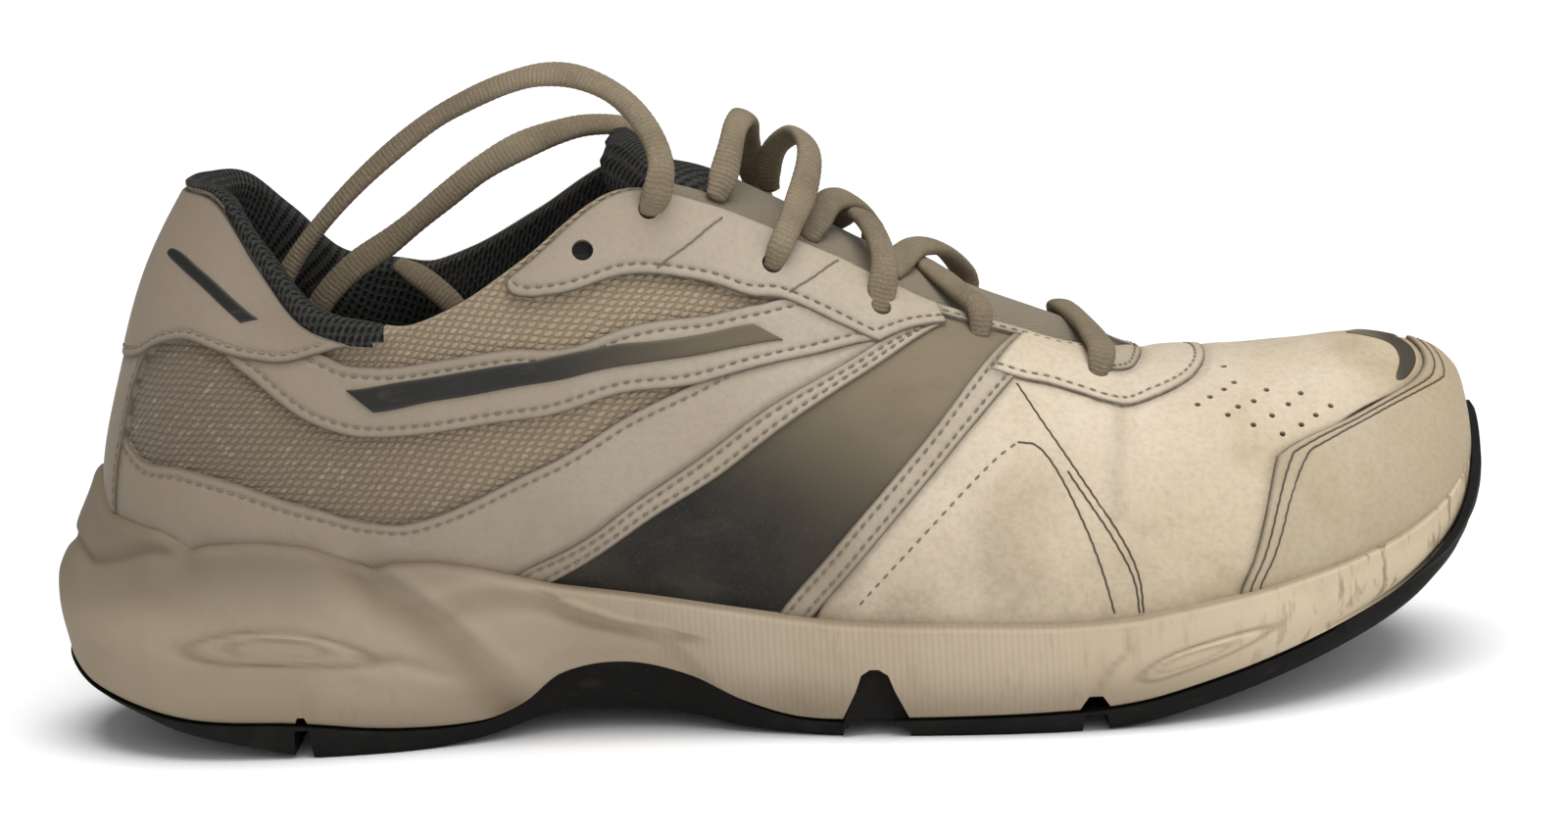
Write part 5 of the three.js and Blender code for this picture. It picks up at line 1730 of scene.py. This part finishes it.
def lace_strand(bm, route, wide, thick, lean=0.0, roll=0.0, phase=0.0, ribbed=0.006):
    """Sweeps a flat woven lace along a route, its flat face turned up and away from the shoe."""
    line = Line(route)
    count = max(24, int(line.length / 0.32))
    ring = 20
    share = np.linspace(0.0, 1.0, count)
    spine = line.at(share)
    padded = np.pad(spine, ((4, 4), (0, 0)), mode="edge")
    soft = np.stack([np.convolve(column, np.ones(9) / 9.0, mode="valid") for column in padded.T], axis=1)
    run = unit(np.gradient(soft, axis=0))
    flat_side = np.column_stack([np.full(count, 0.35), 0.045 * spine[:, 1] + lean, np.full(count, 0.75)])
    up = np.zeros_like(spine)
    now = flat_side[0]
    for k in range(count):
        wanted = flat_side[k] - run[k] * (flat_side[k] @ run[k])
        now = now - run[k] * (now @ run[k])
        now = unit((now + 0.08 * wanted)[None])[0]
        up[k] = now
    across = np.cross(run, up)
    twist = (roll * np.sin(math.pi * share) + 0.22 * np.sin(line.length * share / 17.0 + phase))[:, None]
    up, across = up * np.cos(twist) + across * np.sin(twist), across * np.cos(twist) - up * np.sin(twist)
    made, i, j = grid(ring + 1, count)
    angle = 2.0 * math.pi * i / ring
    far = share[j] * line.length
    chevron = np.abs((angle / (2.0 * math.pi) * 4.0) % 1.0 - 0.5)
    rib = 1.0 + ribbed * np.sin(2.0 * math.pi * (far / 1.5 + chevron * 0.4) + phase)
    slack = 1.0 + 0.09 * np.sin(far / 7.0 + phase) + 0.04 * np.sin(far / 3.1)
    nearest_end = np.minimum(far, line.length - far)
    ends = np.sqrt(np.clip(nearest_end / 0.6, 0.12, 1.0)) * mix(0.68, 1.0, ease(nearest_end / 6.0))
    over = wide / 2.0 * np.cos(angle) * rib * slack * ends
    tall = thick / 2.0 * np.sign(np.sin(angle)) * np.abs(np.sin(angle)) ** 0.8 * rib / slack * ends
    points = spine[j] + across[j] * over[:, None] + up[j] * tall[:, None]
    move_to(made, points * MM)
    note_chart(made, far, i / ring * 2.0)
    weld(made)
    close_ends(made)
    bmesh.ops.recalc_face_normals(made, faces=made.faces)
    join(bm, made)
    return line


# ---------------------------------------------------------------- the shoe's parts, one operator each


def leathers(shoe):
    return {
        "leather": leather_finish("worn_leather", shoe.leather_colour, paint(0.36, 0.292, 0.21)),
        "vamp": leather_finish("worn_vamp_leather", shoe.vamp_colour, paint(0.52, 0.425, 0.305)),
        "stripe": stripe_finish("dark_stripe", shoe.stripe_colour, paint(0.185, 0.148, 0.095)),
        "accent": accent_finish("toe_crescent"),
    }


def side_panel(name, side):
    first, second, top, seams, insets, finish = SIDE_PANELS[name]
    return Panel(first, second, side_chart(side), top, seams, insets), finish


def wide_panels():
    """The pieces that cross the heel or the toe, with the edges of each that lie free."""
    cap_free = ("first", "start", "end")
    return {
        "heel_tab": Panel(*HEEL_TAB[:2], heel_chart, HEEL_TAB[2], ("first",), (1.8,)),
        "backstay": Panel(*BACKSTAY[:2], heel_chart, BACKSTAY[2], ("first", "second"), (1.3,)),
        "vamp": Panel(*VAMP[:2], toe_chart, VAMP[2]),
        "throat_front": Panel(*THROAT_FRONT_PIECE[:2], toe_chart, THROAT_FRONT_PIECE[2], ("second",), (1.8,)),
        "throat_lip": Panel(*THROAT_LIP[:2], toe_chart, THROAT_LIP[2], ("second",), (1.2,)),
        "toe_cap": Panel(*TOE_CAP[:2], toe_chart, TOE_CAP[2], ("first",), (1.7, 3.4), cap_free),
    }


def chart_line(points, read, lift):
    """A line drawn on the last, as points in metres."""
    return on_last(*read(Line(points, CHART).at(np.linspace(0.0, 1.0, 300))), lift)


HOLE = 2.15
PINHOLE = 0.62


class SHOE_OT_upper(bpy.types.Operator):
    """Makes the hollow upper with its knit, its lining and its leather pieces"""

    bl_idname = "shoe.upper"
    bl_label = "Upper"

    def execute(self, context):
        finishes = leathers(context.scene.shoe)
        made = {}
        crossing = wide_panels()
        for panel in crossing.values():
            cover(panel)
        for side in (OUTER, INNER):
            for name in SIDE_PANELS:
                cover(side_panel(name, side)[0])
        lining = lining_finish("collar_lining", paint(0.024, 0.0235, 0.0215), paint(0.085, 0.083, 0.077))
        upper_shell(knit_finish("spacer_mesh"), lining)
        folds = {"vamp": [(chart_line(VAMP_CREASE, side_chart(OUTER), 0.0), 1.7, 0.25, 0.2)]}
        for side, word in ((OUTER, "outer"), (INNER, "inner")):
            for name in SIDE_PANELS:
                panel, finish = side_panel(name, side)
                made[name, side] = panel.build(f"{name}_{word}", finishes[finish])
            bar = Panel(*BAR[:2], side_chart(side), BAR[2])
            bar.build(f"side_bar_{word}", bar_finish(f"moulded_bar_{word}"), round_edge=1.0, floor=0.2)
            wedge = Panel(*WEDGE[:2], side_chart(side), WEDGE[2])
            wedge.build(f"heel_wedge_{word}", bar_finish(f"moulded_wedge_{word}"), round_edge=0.8, floor=0.5)
        for name, panel in crossing.items():
            skin_colour = finishes["vamp" if name in ("vamp", "throat_front") else "leather"]
            made[name] = panel.build(name, skin_colour, folds=folds.get(name, ()))
        accent = Panel(*TOE_ACCENT[:2], toe_chart, TOE_ACCENT[2])
        accent.build("toe_accent", finishes["accent"])
        for side in (OUTER, INNER):
            punch(made["eyestay", side], spots_of(EYELETS[:4], side), HOLE)
            punch(made["throat_band", side], spots_of(EYELETS[4:5], side), HOLE)
            punch(made["vamp"], spots_of(PERFORATIONS, side), PINHOLE)
        punch(made["throat_front"], spots_of(EYELETS[5:], OUTER, INNER), HOLE)
        return {"FINISHED"}


class SHOE_OT_stitching(bpy.types.Operator):
    """Sews the seams, one short stitch at a time"""

    bl_idname = "shoe.stitching"
    bl_label = "Stitching"

    def execute(self, context):
        pitch = context.scene.shoe.stitch_pitch / MM
        thread = thread_finish("sewing_thread", paint(0.19, 0.153, 0.108))
        dark_thread = thread_finish("dark_thread", paint(0.085, 0.066, 0.044))
        for side, word in ((OUTER, "outer"), (INNER, "inner")):
            bm, dark_bm = bmesh.new(), bmesh.new()
            for panel in (side_panel(name, side)[0] for name in SIDE_PANELS):
                for path in panel.seam_paths():
                    stitch_row(bm, path, panel.read, panel.top - 0.05, pitch)
            for shown, lift, line in SEAM_LINES:
                path = Line(line, CHART).at(np.linspace(0.0, 1.0, 300))
                if shown == "stitches":
                    stitch_row(bm, path, side_chart(side), lift + 0.04, pitch)
                else:
                    seam_thread(dark_bm if shown == "dark thread" else bm, path, side_chart(side), lift)
            finish_piece(bm, f"stitches_{word}", thread)
            finish_piece(dark_bm, f"seam_threads_{word}", dark_thread)
        bm, dark_bm = bmesh.new(), bmesh.new()
        for name, panel in wide_panels().items():
            for path in panel.seam_paths():
                if name == "toe_cap":
                    seam_thread(dark_bm, path, panel.read, panel.top - 0.22)
                else:
                    stitch_row(bm, path, panel.read, panel.top - 0.05, pitch)
        finish_piece(bm, "stitches_ends", thread_finish("pale_thread", paint(0.24, 0.195, 0.135)))
        finish_piece(dark_bm, "seam_threads_toe", dark_thread)
        return {"FINISHED"}


class SHOE_OT_tongue(bpy.types.Operator):
    """Makes the padded tongue under the laces"""

    bl_idname = "shoe.tongue"
    bl_label = "Tongue"

    def execute(self, context):
        dark = lining_finish("tongue_lining", paint(0.026, 0.025, 0.023), paint(0.09, 0.086, 0.078))
        face = cloth_finish("tongue_cloth", paint(0.26, 0.215, 0.15), paint(0.16, 0.13, 0.086))
        tongue_piece(dark, face)
        return {"FINISHED"}


class SHOE_OT_sole(bpy.types.Operator):
    """Makes the moulded foam, the rubber under it and the pad inside"""

    bl_idname = "shoe.sole"
    bl_label = "Sole"

    def execute(self, context):
        shoe = context.scene.shoe
        midsole_body(foam_finish("moulded_foam", shoe.foam_colour, paint(0.43, 0.35, 0.25)))
        outsole_body(rubber_finish("black_rubber", shoe.rubber_colour))
        insole_pad(cloth_finish("pad_cloth", paint(0.2, 0.18, 0.15), paint(0.1, 0.09, 0.075)))
        return {"FINISHED"}


def threaded(route, first_hole, last_hole):
    """A route carried on into the lace holes at its ends."""
    start = [into(*first_hole)] if first_hole else route[:1]
    end = [into(*last_hole)] if last_hole else route[-1:]
    return [*start, *route[1:-1], *end]


# Each lace that hangs or stands free: its route, the holes at its start and end, how far its flat face leans to
# the inner side, and how far it rolls halfway along.
FREE_LACES = {
    "lace_end_outer": (END_OUTER, ((OUTER, 1), None), -0.5, 0.5),
    "lace_end_inner": (END_INNER, ((INNER, 1), None), -1.6, 0.2),
    "lace_loop_back": (LOOP_BACK, (None, (INNER, 2)), 0.0, 0.0),
    "lace_loop_front": (LOOP_FRONT, (None, (OUTER, 2)), 0.0, 0.0),
}


class SHOE_OT_laces(bpy.types.Operator):
    """Threads the lace through its holes, with both ends hanging into the shoe"""

    bl_idname = "shoe.laces"
    bl_label = "Laces"

    def execute(self, context):
        shoe = context.scene.shoe
        wide, thick = shoe.lace_width / MM, shoe.lace_thickness / MM
        finish = lace_finish("woven_lace", shoe.lace_colour, paint(0.15, 0.117, 0.075))
        for name, strands in CROSSINGS.items():
            bm = bmesh.new()
            for number, (route, first_hole, last_hole) in enumerate(strands):
                lace_strand(bm, threaded(route, first_hole, last_hole), wide, thick, phase=number * 1.3)
            piece = finish_piece(bm, name, finish, outside=False)
            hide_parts(name)
        for name, (route, holes, lean, roll) in FREE_LACES.items():
            bm = bmesh.new()
            line = lace_strand(bm, threaded(route, *holes), wide, thick, lean, roll, len(name), 0.014)
            spine = line.at(np.linspace(0.0, 1.0, 24)) * MM
            piece = finish_piece(bm, name, finish, outside=False)
            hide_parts(name)
            tuple(value * MM for value in route[0])
            "object" if "loop" in name else "bare"
        return {"FINISHED"}


# Each lamp: the way to it from the shoe, its strength and how wide it is in degrees.
LAMPS = {
    "overhead_sun": ((0.12, -0.16, 1.0), 2.6, 46.0),
    "front_fill": ((0.5, -1.0, 0.42), 1.7, 90.0),
}
TARGET = (0.0033, 0.0, 0.0583)


def lamp(name, place, strength, wide):
    light = bpy.data.lights.new(name, "SUN")
    light.energy = strength
    light.angle = math.radians(wide)
    made = bpy.data.objects.new(name, light)
    made.rotation_euler = (-Vector(place)).to_track_quat("-Z", "Y").to_euler()
    return made


class SHOE_OT_stage(bpy.types.Operator):
    """Sets the camera, the pale floor and the soft lights"""

    bl_idname = "shoe.stage"
    bl_label = "Stage"

    def execute(self, context):
        scene = context.scene
        shoe = scene.shoe
        rise = shoe.camera_rise
        back = Vector((0.0, -math.cos(rise), math.sin(rise)))
        data = bpy.data.cameras.new("camera")
        data.sensor_width = 36.0
        data.lens = shoe.lens
        data.clip_start = 0.01
        camera = bpy.data.objects.new("camera", data)
        camera.location = Vector(TARGET) + back * shoe.camera_distance
        look = (-back).to_track_quat("-Z", "Y").to_matrix()
        camera.rotation_euler = (look @ Matrix.Rotation(-shoe.camera_roll, 3, "Z")).to_euler()
        scene.camera = camera
        bm = bmesh.new()
        bmesh.ops.create_grid(bm, x_segments=2, y_segments=2, size=7.0)
        mesh = bpy.data.meshes.new("floor")
        bm.to_mesh(mesh)
        bm.free()
        finish = Finish("pale_floor", 0.8, Base_Color=paint(0.92, 0.92, 0.92), Specular_IOR_Level=0.2)
        mesh.materials.append(finish.material)
        floor = bpy.data.objects.new("floor", mesh)
        world = bpy.data.worlds.new("studio")
        world.use_nodes = True
        background = world.node_tree.nodes["Background"].inputs
        background["Color"].default_value = paint(1.0, 1.0, 1.0)
        background["Strength"].default_value = 0.22
        scene.world = world
        scene.view_settings.view_transform = "Standard"
        for set_object in (camera, floor, *(lamp(name, *facts) for name, facts in LAMPS.items())):
            scene.collection.objects.link(set_object)
        return {"FINISHED"}


# ---------------------------------------------------------------- settings and panel


def distance(name, description, default):
    """A length in metres that a user may change."""
    return bpy.props.FloatProperty(
        name=name, description=description, default=default, min=0.001, precision=4, subtype="DISTANCE"
    )


def angle(name, description, degrees):
    return bpy.props.FloatProperty(
        name=name, description=description, default=math.radians(degrees), subtype="ANGLE"
    )


def colour(name, description, *default):
    return bpy.props.FloatVectorProperty(
        name=name, description=description, default=paint(*default), size=4, min=0.0, max=1.0, subtype="COLOR"
    )


class ShoeSettings(bpy.types.PropertyGroup):
    lace_width: distance("Lace width", "How wide the woven lace is", 0.0057)
    lace_thickness: distance("Lace thickness", "How thick the woven lace is", 0.0028)
    stitch_pitch: distance("Stitch pitch", "From one stitch to the next", 0.0024)
    leather_colour: colour("Leather colour", "Cleanest leather of the sides", 0.42, 0.36, 0.28)
    vamp_colour: colour("Vamp colour", "Cleanest leather of the vamp", 0.6, 0.51, 0.4)
    stripe_colour: colour("Stripe colour", "The slanted stripe where it isn't worn", 0.0125, 0.0118, 0.01)
    lace_colour: colour("Lace colour", "The lace where it is cleanest", 0.225, 0.18, 0.119)
    foam_colour: colour("Foam colour", "The cleanest foam of the sole", 0.51, 0.43, 0.325)
    rubber_colour: colour("Rubber colour", "The rubber under the dust", 0.006, 0.0057, 0.0053)
    lens: bpy.props.FloatProperty(name="Lens", description="Focal length in millimetres", default=70.65, min=10.0)
    camera_distance: distance("Camera distance", "From the camera to the shoe", 0.65)
    camera_rise: angle("Camera rise", "How far the camera looks down", 10.0)
    camera_roll: angle("Camera roll", "How far the camera leans to its right", 3.4)


STEPS = (SHOE_OT_stage, SHOE_OT_laces, SHOE_OT_upper, SHOE_OT_stitching, SHOE_OT_tongue, SHOE_OT_sole)


class SHOE_PT_panel(bpy.types.Panel):
    """Lists the steps that make the shoe"""

    bl_label = "Worn running shoe"
    bl_idname = "SHOE_PT_panel"
    bl_space_type = "VIEW_3D"
    bl_region_type = "UI"
    bl_category = "Shoe"

    def draw(self, context):
        for name in ShoeSettings.__annotations__:
            self.layout.prop(context.scene.shoe, name)
        for step in STEPS:
            self.layout.operator(step.bl_idname)


CLASSES = (ShoeSettings, *STEPS, SHOE_PT_panel)


def register():
    for cls in CLASSES:
        bpy.utils.register_class(cls)
    bpy.types.Scene.shoe = bpy.props.PointerProperty(type=ShoeSettings)


def unregister():
    del bpy.types.Scene.shoe
    for cls in reversed(CLASSES):
        bpy.utils.unregister_class(cls)


def main():
    register()
    bpy.ops.shoe.stage()
    bpy.ops.shoe.laces()
    bpy.ops.shoe.upper()
    bpy.ops.shoe.stitching()
    bpy.ops.shoe.tongue()
    bpy.ops.shoe.sole()


if __name__ == "__main__":
    main()
